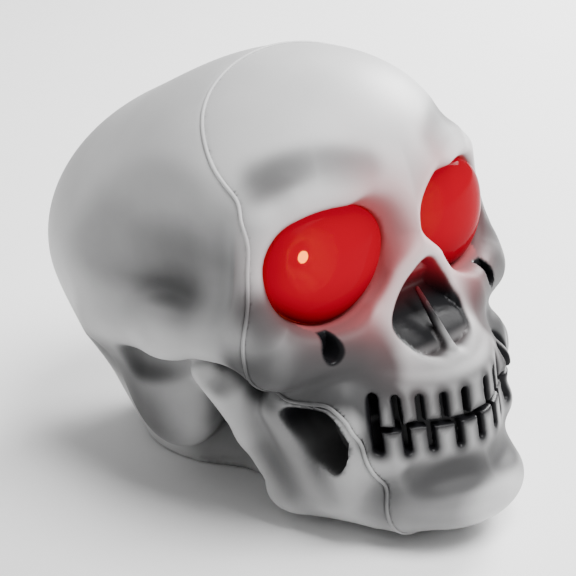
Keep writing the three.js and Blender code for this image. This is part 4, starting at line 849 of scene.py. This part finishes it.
# Finishes, and how a piece takes its place
FINISHES = {
    "bone_plastic": plain_material("door_plastic", (0.52, 0.52, 0.525), 0.4),
    "white_plastic": plain_material("white_plastic", (0.75, 0.75, 0.73), 0.45),
    "red_diode": plain_material("diode_leads", (0.5, 0.04, 0.03), 0.2),
    "steel": plain_material("plated_steel", (0.55, 0.56, 0.57), 0.32, 1.0),
    "black_plastic": plain_material("black_plastic", (0.022, 0.022, 0.024), 0.45),
    "cell_jacket": plain_material("cell_jacket", (0.10, 0.11, 0.13), 0.3),
    "board_green": plain_material("board_green", (0.015, 0.1, 0.04), 0.35),
    "tan_resistor": plain_material("tan_resistor", (0.5, 0.34, 0.17), 0.5),
    "red_wire": plain_material("red_wire", (0.42, 0.015, 0.015), 0.4),
    "black_wire": plain_material("black_wire", (0.02, 0.02, 0.022), 0.4),
}
SLOTS = {entry["node"]: entry["material_slot"] for entry in frame["record"]["subparts"]}
SIDES = ((1, "left"), (-1, "right"))


def paint(piece, finish):
    piece.data.materials.clear()
    piece.data.materials.append(finish)


def seat(piece, finish, body, *nodes):
    """Gives a piece its finish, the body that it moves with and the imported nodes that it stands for."""
    paint(piece, finish)
    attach(piece, body)
    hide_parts(*nodes)


for node, thing in frame["nodes"].items():
    if SLOTS[node] in FINISHES:
        paint(thing, FINISHES[SLOTS[node]])

# Shells with their paint

# Painted grey shade: limbs or a groove, the distances at which the painted shade is full and gone, and its
# strength
PAINTED_SHADES = (
    (arch_hollows, 0, 5, 0.12),
    (tooth_gaps, -1, 4, 0.55),
    (brow_groove, 0, 9, 0.72),
    (lip_groove, -3, 6, 0.8),
    ([((52, -2, 50), (51, -20, 47), 3, 3)], -3, 9, 0.15),  # under the cheek arch
    ([((58, 32, 67), (53, -38, 57), 5, 5)], -4, 9, 0.36),  # cheek arch
    ([((52, -46, 36), (50, -16, 27), 12, 12)], -9, 18, 0.78),  # behind the ear
    ([((34, 66, 18), (14, 90, 17), 5, 5)], -5, 10, 0.22),  # chin
    ([((33, 55, 65), (53, 41, 69), 10, 6), ((54, 41, 68), (55, 41, 82), 4, 3)], 0, 12, 0.8),  # cheekbone
    ([((0, 84, 58), (26, 73, 56), 5, 5)], 0, 10, 0.08),  # over the upper teeth
    ([((30, 8, 24), (24, -6, 6), 9, 9)], -3, 12, 0.35),  # behind the jaw
    ([((48, 32, 28), (43, 39, 15), 4, 4)], -3, 6, 0.2),  # rear edge of the jaw
    ([((47, 30, 48), (36, 44, 18), 8, 8)], 0, 10, 0.26),  # jaw plate
)


def painted_shade_of(points, normals):
    """How dark the painted grey shade is, from 0 to 1: in hollows, on the temples and on the lower face."""
    shade = np.zeros(len(points))
    field = in_halves(skull_form)
    # Painted shade in hollows, where other skin is near in front
    for reach, weight in ((4, 0.25), (9, 0.3), (18, 0.25)):
        shade += weight * np.clip(1 - field(points + reach * normals) / reach, 0, 1)
    p = mirrored_side(points)
    front, up = p[:, 1], p[:, 2]
    # Painted shade along the limbs and grooves of the table
    for place, full, gone, weight in PAINTED_SHADES:
        away = place(p) if callable(place) else np.minimum.reduce([limb(p, *part) for part in place])
        shade += weight * (1 - rise(away, full, gone))
    # Painted shade on the temple, paler above and low in front
    paler = (1 - 0.55 * rise(up, 92, 116)) * (1 - 0.4 * rise(front, 6, 20) * (1 - rise(up, 80, 96)))
    shade += 0.72 * (1 - rise(temple(p), 0, 14)) * rise(front, -100, 14) * rise(up, 64, 80) * paler
    # Lower end of the cheek's window, left pale, with less painted shade
    window = (1 - rise(cheek_hole(p), -2, 2.5)) * (1 - rise(up, 35, 46))
    shade *= 1 - 0.8 * window
    # Painted shade on the lower face, paler at the very front and low at the rear
    lower_face = (1 - rise(up, 55, 80)) * rise(front, 20, 45) * (1 - 0.85 * rise(front, 89, 95))
    lower_face *= 0.45 + 0.55 * np.maximum(rise(up, 10, 34), rise(front, 60, 72))
    return np.clip(shade + 0.38 * lower_face, 0, 1)


def paint_layers(points, normals):
    """Paint on each corner: the black's edge and cover, painted red light round the eyes and high in the
    nose, and painted grey shade.
    """
    p = mirrored_side(points)
    up = p[:, 2]
    nose, cheek = nose_hole(p), cheek_hole(p)
    edge = np.minimum.reduce([nose, cheek, foramen_hole(p), 1.4 * tooth_gaps(p)])
    in_nose = nose < 1.5
    # Black thins out at the foot of the nose, on its ridge and low in the cheek's window
    cover = np.where(in_nose, rise(up, 61.5, 66), 1.0)
    cover = cover * (1 - 0.4 * (1 - rise(vomer(p), 0.2, 1.2)) * (1 - rise(up, 65, 73)))
    cover = cover * (1 - 0.95 * (1 - rise(cheek, 1, 4)) * (1 - rise(up, 35, 46)))
    # Painted red light on the eye's rim, stronger on the nose's side and inside the socket
    across, high, outward = eye_frame(p)
    ring = eye_hole(p)
    inner = rise(-across, -6, 16)
    rim = 0.22 + 0.28 * inner
    deep = rim + (0.9 - rim) * rise(-outward, -5, 3)
    around = rim * np.exp(-np.maximum(ring, 0) / (3 + 5 * inner))
    painted_eye_light = np.where(ring < 0.6, deep, around) * (outward > -12)
    # Painted red light from the lamp inside, high in the nose
    painted_nose_light = in_nose * rise(up, 72, 88)
    # Painted grey shade in hollows, on the temples and on the lower face
    painted_shade = painted_shade_of(points, normals)
    return {"paint": edge, "cover": cover, "painted_eye_light": painted_eye_light, "painted_nose_light": painted_nose_light, "painted_shade": painted_shade}


def shell(name, field, low, high, step):
    """One moulded shell, with its paint on its corners."""
    corners, quads = skin_mesh(field, low, high, step)
    normals = slopes(in_halves(field), corners)
    return mesh_piece(name, corners, quads, paint_layers(corners, normals))


BONE = bone_material()
face = shell("face_shell_skin", face_field, (-67, -98, 0), (67, 18, 153), FACE_GRID)
cranium = shell("cranium_shell_skin", cranium_field, (-67, -78, 0), (67, 97, 150), CRANIUM_GRID)
bead_corners, bead_quads, bead_normals = seam_bead()
bead = mesh_piece("face_seam_bead", bead_corners, bead_quads, paint_layers(bead_corners, bead_normals))
seat(face, BONE, "skull", "face_shell")
seat(bead, BONE, "skull", "face_shell")
seat(cranium, BONE, "skull", "cranium_shell")

# Lenses: a dome with a flange behind the socket's collar, and a hollow back
LENS_SIDES = 72
LENS_RINGS = 26
LENS_FLANGE = 1.13
LENS_FLANGE_GAP = 0.3
LENS_FLANGE_BACK = 1.9
LENS_WALL = 1.8
LENS_HOLLOW = 0.93
LENS_CLEAR = 0.035


def lens_mesh(hand):
    """Corners, faces and layers of one lens: its painted shade, stronger towards the rim and below, and how
    clear it is.
    """
    turns = np.arange(LENS_SIDES) * 2 * math.pi / LENS_SIDES
    power = 2 / EYE_SQUARENESS
    outline = np.stack([np.sign(np.cos(turns)) * np.abs(np.cos(turns)) ** power,
                        np.sign(np.sin(turns)) * np.abs(np.sin(turns)) ** power], axis=1)
    shares = np.sin(np.linspace(0.02, 1, LENS_RINGS) * math.pi / 2)
    rows = [(share, LENS_BULGE * math.sqrt(max(0, 1 - share**2)) - LENS_EDGE_DEPTH) for share in shares]
    back = -COLLAR_DEPTH - LENS_FLANGE_GAP
    rows += [(1.0, back), (LENS_FLANGE, back), (LENS_FLANGE, -COLLAR_DEPTH - LENS_FLANGE_BACK)]
    rows += [(LENS_HOLLOW * share, lift - LENS_WALL) for share, lift in rows[LENS_RINGS - 1::-4]]
    corners, depth = [], []
    for share, lift in rows:
        high = share * outline[:, 1] * EYE_HALF_HEIGHT
        across = share * outline[:, 0] * EYE_HALF_WIDTH * (1 + EYE_SPREAD * high) - EYE_LEAN * high
        side, front, up = EYE_AXES.T @ np.stack([across, high, np.full(LENS_SIDES, lift)])
        corners.append(np.stack([hand * (EYE_SIDE + side), -EYE_FRONT - front, EYE_UP + up], axis=1))
        # Painted shade on the lit lens, stronger towards its rim and its lower side
        low = rise(-high / EYE_HALF_HEIGHT, 0.04, 1.0)
        depth.append(np.clip(0.85 * share**4 * (0.35 + 0.65 * low) + 0.35 * low, 0, 1))
    faces = []
    for row in range(len(rows) - 1):
        for k in range(LENS_SIDES):
            here, after = row * LENS_SIDES + k, row * LENS_SIDES + (k + 1) % LENS_SIDES
            faces.append((here, after, after + LENS_SIDES, here + LENS_SIDES)[::hand])
    last = (len(rows) - 1) * LENS_SIDES
    faces.append(tuple(range(LENS_SIDES))[::-hand])
    faces.append(tuple(range(last, last + LENS_SIDES))[::hand])
    clear = np.repeat(np.where(np.arange(len(rows)) < LENS_RINGS, LENS_CLEAR, 1.0), LENS_SIDES)
    return np.concatenate(corners), faces, {"depth": np.concatenate(depth), "clear": clear}


RED_LENS = lens_material()
for hand, word in SIDES:
    seat(mesh_piece(f"eye_dome_{word}", *lens_mesh(hand)), RED_LENS, "skull", f"eye_lens_{word}")

# Diodes behind the lenses


def turned(name, profile, at, axes, sides=48):
    """A turned piece: a profile of (radius, along) pairs about the last of three axes at a point."""
    radius, along = np.array(profile, float).T
    turns = np.arange(sides) * 2 * math.pi / sides
    rounds = np.stack([np.cos(turns), np.sin(turns)], axis=1) @ axes[:2]
    corners = at + radius[:, None, None] * rounds + (along[:, None] * axes[2])[:, None, :]
    row = np.arange(len(profile) - 1)[:, None] * sides
    here = np.arange(sides)[None, :]
    after = (here + 1) % sides
    quads = np.stack([row + here, row + after, row + sides + after, row + sides + here], axis=-1)
    return mesh_piece(name, corners.reshape(-1, 3), quads.reshape(-1, 4))


def eye_place(hand):
    """Middle and axes (across, high, outward) of an eye in x, y and z."""
    mirror = np.array([hand, -1, 1])
    axes = EYE_AXES * mirror
    return np.array([EYE_SIDE, EYE_FRONT, EYE_UP]) * mirror, axes * np.array([[hand], [1], [1]])


DIODE_SEAT = -20.5
DIODE_RADIUS = 2.5
DIODE_SHOULDER = DIODE_SEAT + 6.1
DIODE_FLANGE = 2.9
DIODE_BACK = DIODE_SEAT - 1
TIP_ROWS = 8
TIP_SWELL = 1.03
TIP_LIFT = 0.06
dome_turns = np.radians(np.linspace(90, 0, 13))
bulb = [(DIODE_RADIUS * math.cos(t), DIODE_SHOULDER + DIODE_RADIUS * math.sin(t)) for t in dome_turns]
tip = [(TIP_SWELL * radius, along + TIP_LIFT) for radius, along in bulb[:TIP_ROWS]]
bulb += [(DIODE_RADIUS, DIODE_SEAT), (DIODE_FLANGE, DIODE_SEAT), (DIODE_FLANGE, DIODE_BACK), (0, DIODE_BACK)]
LIT_DIODE = lit_material("lit_diode", (0.5, 0.03, 0.02), (1.0, 0.08, 0.02), 1.2)
HOT_TIP = lit_material("lit_diode_tip", (0.9, 0.6, 0.4), (1.0, 0.75, 0.3), 110.0)
for hand, word in SIDES:
    for label, profile, finish in (("bulb", bulb, LIT_DIODE), ("tip", tip, HOT_TIP)):
        diode = turned(f"diode_{label}_{word}", profile, *eye_place(hand))
        seat(diode, finish, "skull", f"lamp_diode_{word}")

# Battery door and switch knob, with rounded edges
DOOR_HALF_WIDTH = 15.05
DOOR_BOTTOM = 0.4
DOOR_TOP = 2.4
DOOR_REAR = BAY_REAR + 0.8
DOOR_FRONT = BAY_FRONT - 0.35
DOOR_ROUNDING = 0.45
TAIL_HALF_WIDTH = 9
KNUCKLE_RADIUS = 1.6
PIN_RADIUS = 0.9
PIN_HALF_LENGTH = 11.2
HINGE_UP = 2
CATCH_HALF_WIDTH = 4.5
CATCH_REACH = 4.5
RIB_SIDES = (0, 0.9 * DOOR_HALF_WIDTH)
RIB_ROUNDING = 0.2
RIB_HALF_WIDTH = 0.48
GRIP_PITCH = 2.4
GRIP_COUNT = 3
GRIP_RADIUS = 0.7
GRIP_FRONT = BAY_FRONT - 5
DOOR_GRID = 0.4
KNOB_HALF_LENGTH = 2.4
KNOB_HALF_WIDTH = 2.2
KNOB_BOTTOM = 0.8
KNOB_THUMB_TOP = 2.3
KNOB_STEM = 1.3
KNOB_SLIDER = (4.5, 6.7)
KNOB_GROOVE = 0.35
KNOB_GROOVE_SIDES = (0, 0.55 * KNOB_HALF_LENGTH)
KNOB_GRID = 0.2


def soft_box(p, side, front, up, rounding):
    """Distance to a box with rounded edges."""
    away = box_gaps(p, side, front, up) + rounding
    return np.linalg.norm(np.maximum(away, 0), axis=1) + np.minimum(away.max(axis=1), 0) - rounding


def cross_bar(p, radius, half_length):
    """Distance to a round bar along the door's hinge."""
    around = np.hypot(p[:, 1] - HINGE_FRONT, p[:, 2] - HINGE_UP)
    return np.maximum(around - radius, p[:, 0] - half_length)


def door_field(p):
    def slab(half_width, front):
        return soft_box(p, span(0, half_width), front, (DOOR_BOTTOM, DOOR_TOP), DOOR_ROUNDING)

    form = np.minimum.reduce([
        slab(DOOR_HALF_WIDTH, (DOOR_REAR, DOOR_FRONT)),
        slab(TAIL_HALF_WIDTH, (HINGE_FRONT, DOOR_REAR + 2)),
        slab(CATCH_HALF_WIDTH, (DOOR_FRONT - 2, BAY_FRONT + CATCH_REACH)),
        cross_bar(p, KNUCKLE_RADIUS, TAIL_HALF_WIDTH),
        cross_bar(p, PIN_RADIUS, PIN_HALF_LENGTH),
    ])
    for side in RIB_SIDES:
        rib = soft_box(p, span(side, RIB_HALF_WIDTH), (DOOR_REAR + 1, DOOR_FRONT - 1),
                       (DOOR_TOP - 1, DOOR_TOP + RIB_HALF_WIDTH), RIB_ROUNDING)
        form = np.minimum(form, rib)
    for line in range(GRIP_COUNT):
        front = GRIP_FRONT - GRIP_PITCH * line
        ends = [(side, front, DOOR_BOTTOM) for side in (0, DOOR_HALF_WIDTH / 2)]
        form = carve(form, limb(p, *ends, GRIP_RADIUS, GRIP_RADIUS), 0.3)
    return form


def knob_field(p):
    def slab(half_length, half_width, up, rounding):
        return soft_box(p, span(0, half_length), span(POCKET_FRONT, half_width), up, rounding)

    form = np.minimum.reduce([
        slab(KNOB_HALF_LENGTH, KNOB_HALF_WIDTH, (KNOB_BOTTOM, KNOB_THUMB_TOP), 0.3),
        slab(KNOB_STEM, KNOB_STEM, (KNOB_BOTTOM, KNOB_SLIDER[1]), 0.1),
        slab(KNOB_HALF_LENGTH, KNOB_HALF_WIDTH, KNOB_SLIDER, 0.2),
    ])
    for side in KNOB_GROOVE_SIDES:
        ends = [(side, front, KNOB_BOTTOM) for front in span(POCKET_FRONT, 4)]
        form = carve(form, limb(p, *ends, KNOB_GROOVE, KNOB_GROOVE), 0.15)
    return form


door_skin = mesh_piece("battery_door_skin", *skin_mesh(door_field, (-16, -26, -0.4), (16, 46, 4), DOOR_GRID))
seat(door_skin, FINISHES["bone_plastic"], "battery_door", "battery_door")
knob_skin = mesh_piece("switch_knob_skin", *skin_mesh(knob_field, (-4, -44, 0), (4, -36, 8), KNOB_GRID))
seat(knob_skin, FINISHES[SLOTS["switch_knob"]], "switch_knob", "switch_knob")

# Cells: a jacket between crimped steel ends
CELL_RADIUS = 7.1
CELL_HALF_LENGTH = 24.6
CELL_SIDE = 7.5
CELL_UP = 10.3
CELL_SHIFT = 1.85
CELL_MIDDLE = -9
NUB_RADIUS = 2.7
NUB_LENGTH = 1.3
NUB_ROUNDING = 0.3
CRIMP_OUTER = 6.8
CRIMP_MIDDLE = 6.3
CRIMP_INNER = 5.8
CAP_RADIUS = 5.6
CAP_DEPTH = 0.2
nub_tip = CELL_HALF_LENGTH + NUB_LENGTH
nub_end = [
    (0, nub_tip),
    (NUB_RADIUS - NUB_ROUNDING, nub_tip),
    (NUB_RADIUS, nub_tip - NUB_ROUNDING),
    (NUB_RADIUS, CELL_HALF_LENGTH - 0.1),
    (CAP_RADIUS, CELL_HALF_LENGTH - CAP_DEPTH),
    (CRIMP_INNER, CELL_HALF_LENGTH),
    (CRIMP_MIDDLE, CELL_HALF_LENGTH),
]
crimp = [
    (CRIMP_MIDDLE, CELL_HALF_LENGTH),
    (CRIMP_OUTER, CELL_HALF_LENGTH - 0.15),
    (CELL_RADIUS, CELL_HALF_LENGTH - 0.6),
]
jacket = crimp + [(radius, -along) for radius, along in crimp[::-1]]
flat_end = [
    (CRIMP_MIDDLE, -CELL_HALF_LENGTH),
    (CRIMP_INNER, -CELL_HALF_LENGTH),
    (CAP_RADIUS, CAP_DEPTH - CELL_HALF_LENGTH),
    (0, CAP_DEPTH - CELL_HALF_LENGTH),
]
CELL_PARTS = (("nub", nub_end, "steel"), ("jacket", jacket, "cell_jacket"), ("base", flat_end, "steel"))
for hand, word in SIDES:
    centre = np.array([hand * CELL_SIDE, -CELL_MIDDLE - hand * CELL_SHIFT, CELL_UP])
    axes = np.array([(1, 0, 0), (0, 0, hand), (0, -hand, 0)])
    for label, profile, finish in CELL_PARTS:
        cell = turned(f"cell_{label}_{word}", profile, centre, axes)
        seat(cell, FINISHES[finish], "skull", f"battery_cell_{word}")

# Screws and springs repeat one shape


def tree_of(name, inputs):
    """A geometry tree with the given inputs, its input and output nodes."""
    tree = bpy.data.node_groups.new(name, "GeometryNodeTree")
    for label, kind in inputs:
        tree.interface.new_socket(label, in_out="INPUT", socket_type="NodeSocket" + kind)
    tree.interface.new_socket("Result", in_out="OUTPUT", socket_type="NodeSocketGeometry")
    return tree, tree.nodes.new("NodeGroupInput"), tree.nodes.new("NodeGroupOutput")


def finished(tree, geometry, output, material):
    """Ends a tree: the instances become a mesh with one material."""
    real = tree.nodes.new("GeometryNodeRealizeInstances")
    painted = tree.nodes.new("GeometryNodeSetMaterial")
    painted.inputs["Material"].default_value = material
    tree.links.new(geometry, real.inputs[0])
    tree.links.new(real.outputs[0], painted.inputs[0])
    tree.links.new(painted.outputs[0], output.inputs["Result"])


def grown(piece, tree, **values):
    """The piece with the tree's result as its plain mesh."""
    modifier = piece.modifiers.new("grown", "NODES")
    modifier.node_group = tree
    for socket in tree.interface.items_tree:
        if socket.in_out == "INPUT" and socket.name in values:
            modifier[socket.identifier] = values[socket.name]
    bpy.context.view_layer.update()
    seen = piece.evaluated_get(bpy.context.evaluated_depsgraph_get())
    mesh = bpy.data.meshes.new_from_object(seen)
    piece.modifiers.remove(modifier)
    piece.data = mesh
    smooth_faces(mesh)
    return piece


HEAD_RADIUS = 2.3
HEAD_HEIGHT = 1.5
HEAD_CROWN = 2.45
SHANK_RADIUS = 1.1
SHANK_LENGTH = 8
POINT_LENGTH = 1.4
THREAD_PITCH = 0.9
THREAD_DEPTH = 0.28
CROSS_HALF_WIDTH = 0.36
CROSS_HALF_LENGTH = 1.4
CROSS_DEPTH = (-3, -0.6)
SCREW_GRID = 0.2


def screw_field(p):
    """A screw with its head below 0 and its thread above, and a cross in the head."""
    up = p[:, 2]
    around = np.hypot(p[:, 0], p[:, 1])
    crown = np.hypot(around, 0.8 * (up - 1)) - HEAD_CROWN
    head = np.maximum.reduce([crown, around - HEAD_RADIUS, up, -HEAD_HEIGHT - up])
    thread = THREAD_DEPTH * np.abs(2 * np.mod(up / THREAD_PITCH, 1) - 1)
    point = 0.6 * np.maximum(up - SHANK_LENGTH + POINT_LENGTH, 0)
    shank = np.maximum.reduce([around - SHANK_RADIUS + thread + point, -1 - up, up - SHANK_LENGTH])
    wide, narrow = span(0, CROSS_HALF_LENGTH), span(0, CROSS_HALF_WIDTH)
    cross = np.minimum(box(p, narrow, wide, CROSS_DEPTH), box(p, wide, narrow, CROSS_DEPTH))
    return np.maximum(np.minimum(head, shank), -cross)


def screw_tree():
    inputs = (("Places", "Geometry"), ("Screw", "Object"), ("Size", "Float"))
    tree, given, result = tree_of("screw_set", inputs)
    shape = tree.nodes.new("GeometryNodeObjectInfo")
    aim = tree.nodes.new("GeometryNodeInputNamedAttribute")
    aim.data_type = "FLOAT_VECTOR"
    aim.inputs["Name"].default_value = "aim"
    turn = tree.nodes.new("FunctionNodeAlignRotationToVector")
    turn.axis = "Z"
    spread = tree.nodes.new("GeometryNodeInstanceOnPoints")
    tree.links.new(given.outputs["Screw"], shape.inputs["Object"])
    tree.links.new(aim.outputs["Attribute"], turn.inputs["Vector"])
    tree.links.new(given.outputs["Places"], spread.inputs["Points"])
    tree.links.new(shape.outputs["Geometry"], spread.inputs["Instance"])
    tree.links.new(turn.outputs["Rotation"], spread.inputs["Rotation"])
    tree.links.new(given.outputs["Size"], spread.inputs["Scale"])
    finished(tree, spread.outputs["Instances"], result, FINISHES["steel"])
    return tree


def screw_seat(node, aim):
    """Where a screw's head rests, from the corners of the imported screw."""
    thing = frame["nodes"][node]
    spots = np.array([thing.matrix_world @ corner.co for corner in thing.data.vertices]) / MM
    along = spots @ aim
    flat = spots - along[:, None] * aim
    return (flat.min(axis=0) + flat.max(axis=0)) / 2 + (along.min() + HEAD_HEIGHT) * aim


DOWN = np.array([0.0, 0.0, -1.0])
screw_nodes, screw_seats, screw_aims = [], [], []
for hand, word in SIDES:
    outward = eye_place(hand)[1][2]
    for node, aim in (
        (f"lamp_cup_screw_{word}_inner", outward),
        (f"lamp_cup_screw_{word}_outer", outward),
        (f"battery_box_screw_{word}", DOWN),
        (f"board_screw_{word}", DOWN),
        (f"shell_screw_{word}", -DOWN),
    ):
        screw_nodes.append(node)
        screw_seats.append(screw_seat(node, aim))
        screw_aims.append(aim)
one_screw = mesh_piece("one_screw", *skin_mesh(screw_field, (-3, -3, -2), (3, 3, 9), SCREW_GRID))
screws = mesh_piece("screws", screw_seats, [])
aims = screws.data.attributes.new("aim", "FLOAT_VECTOR", "POINT")
aims.data.foreach_set("vector", np.ravel(screw_aims))
grown(screws, screw_tree(), Screw=one_screw, Size=1.0)
bpy.data.objects.remove(one_screw)
seat(screws, FINISHES["steel"], "skull", *screw_nodes)

SPRING_TURNS = 3.0
SPRING_WIDE = 4.8
SPRING_NARROW = 2.6
SPRING_HEIGHT = 3.7
SPRING_WIRE = 0.35
SPRING_FEET = {"left": (CELL_SIDE, 36.4, CELL_UP), "right": (-CELL_SIDE, -18.4, CELL_UP)}


def spring_tree():
    sizes = [(label, "Float") for label in ("Turns", "Wide", "Narrow", "Height", "Wire")]
    inputs = [("Base", "Geometry"), *sizes, ("Foot", "Vector"), ("Heading", "Vector")]
    tree, given, result = tree_of("coil_spring", inputs)
    coil = tree.nodes.new("GeometryNodeCurveSpiral")
    coil.inputs["Resolution"].default_value = 32
    wire = tree.nodes.new("GeometryNodeCurvePrimitiveCircle")
    wire.inputs["Resolution"].default_value = 12
    sweep = tree.nodes.new("GeometryNodeCurveToMesh")
    sweep.inputs["Fill Caps"].default_value = True
    moved = tree.nodes.new("GeometryNodeTransform")
    sockets = {"Turns": "Rotations", "Wide": "Start Radius", "Narrow": "End Radius", "Height": "Height"}
    for label, socket in sockets.items():
        tree.links.new(given.outputs[label], coil.inputs[socket])
    tree.links.new(given.outputs["Wire"], wire.inputs["Radius"])
    tree.links.new(coil.outputs["Curve"], sweep.inputs["Curve"])
    tree.links.new(wire.outputs["Curve"], sweep.inputs["Profile Curve"])
    tree.links.new(sweep.outputs["Mesh"], moved.inputs["Geometry"])
    tree.links.new(given.outputs["Foot"], moved.inputs["Translation"])
    tree.links.new(given.outputs["Heading"], moved.inputs["Rotation"])
    finished(tree, moved.outputs["Geometry"], result, FINISHES["steel"])
    return tree


SPRING_TREE = spring_tree()
spring_sizes = {"Wide": SPRING_WIDE, "Narrow": SPRING_NARROW, "Height": SPRING_HEIGHT, "Wire": SPRING_WIRE}
in_metres = {label: MM * size for label, size in spring_sizes.items()}
for hand, word in SIDES:
    spring = mesh_piece(f"spring_{word}", [(0, 0, 0)], [])
    foot = tuple(MM * part for part in SPRING_FEET[word])
    heading = (hand * math.pi / 2, 0.0, 0.0)
    grown(spring, SPRING_TREE, Turns=SPRING_TURNS, Foot=foot, Heading=heading, **in_metres)
    seat(spring, FINISHES["steel"], "skull", f"contact_spring_{word}")

# Floor, light and camera
floor_material = plain_material("pale_floor", (0.9, 0.9, 0.9), 0.7, depth=0.02, shade=0.99)
bpy.ops.mesh.primitive_plane_add(size=6, location=(0, 0, -0.0002))
floor = bpy.context.object
floor.name = "floor"
floor.data.materials.append(floor_material)

world = bpy.data.worlds.new("studio")
world.use_nodes = True
world.node_tree.nodes["Background"].inputs["Color"].default_value = (1, 1, 1, 1)
world.node_tree.nodes["Background"].inputs["Strength"].default_value = 0.45
bpy.context.scene.world = world

TARGET = Vector((0, 0, 0.062))


def stand(name, data, azimuth, elevation, distance):
    """Puts a light or the camera at a turn from the front, a rise and a distance, aimed at the skull."""
    turn, lift = math.radians(azimuth), math.radians(elevation)
    away = Vector((math.sin(turn) * math.cos(lift), -math.cos(turn) * math.cos(lift), math.sin(lift)))
    thing = bpy.data.objects.new(name, data)
    thing.location = TARGET + distance * away
    thing.rotation_euler = (-away).to_track_quat("-Z", "Y").to_euler()
    bpy.context.scene.collection.objects.link(thing)
    return thing


def area_light(name, azimuth, elevation, distance, size, power):
    light = bpy.data.lights.new(name, "AREA")
    light.size = size
    light.energy = power
    stand(name, light, azimuth, elevation, distance)


area_light("key", azimuth=15, elevation=66, distance=1.3, size=0.8, power=34)
area_light("side", azimuth=95, elevation=28, distance=1.2, size=0.5, power=32)

camera = bpy.data.cameras.new("camera")
camera.sensor_width = 36
camera.lens = 111.9
bpy.context.scene.camera = stand("camera", camera, azimuth=-47, elevation=24, distance=0.62)

bpy.context.view_layer.update()
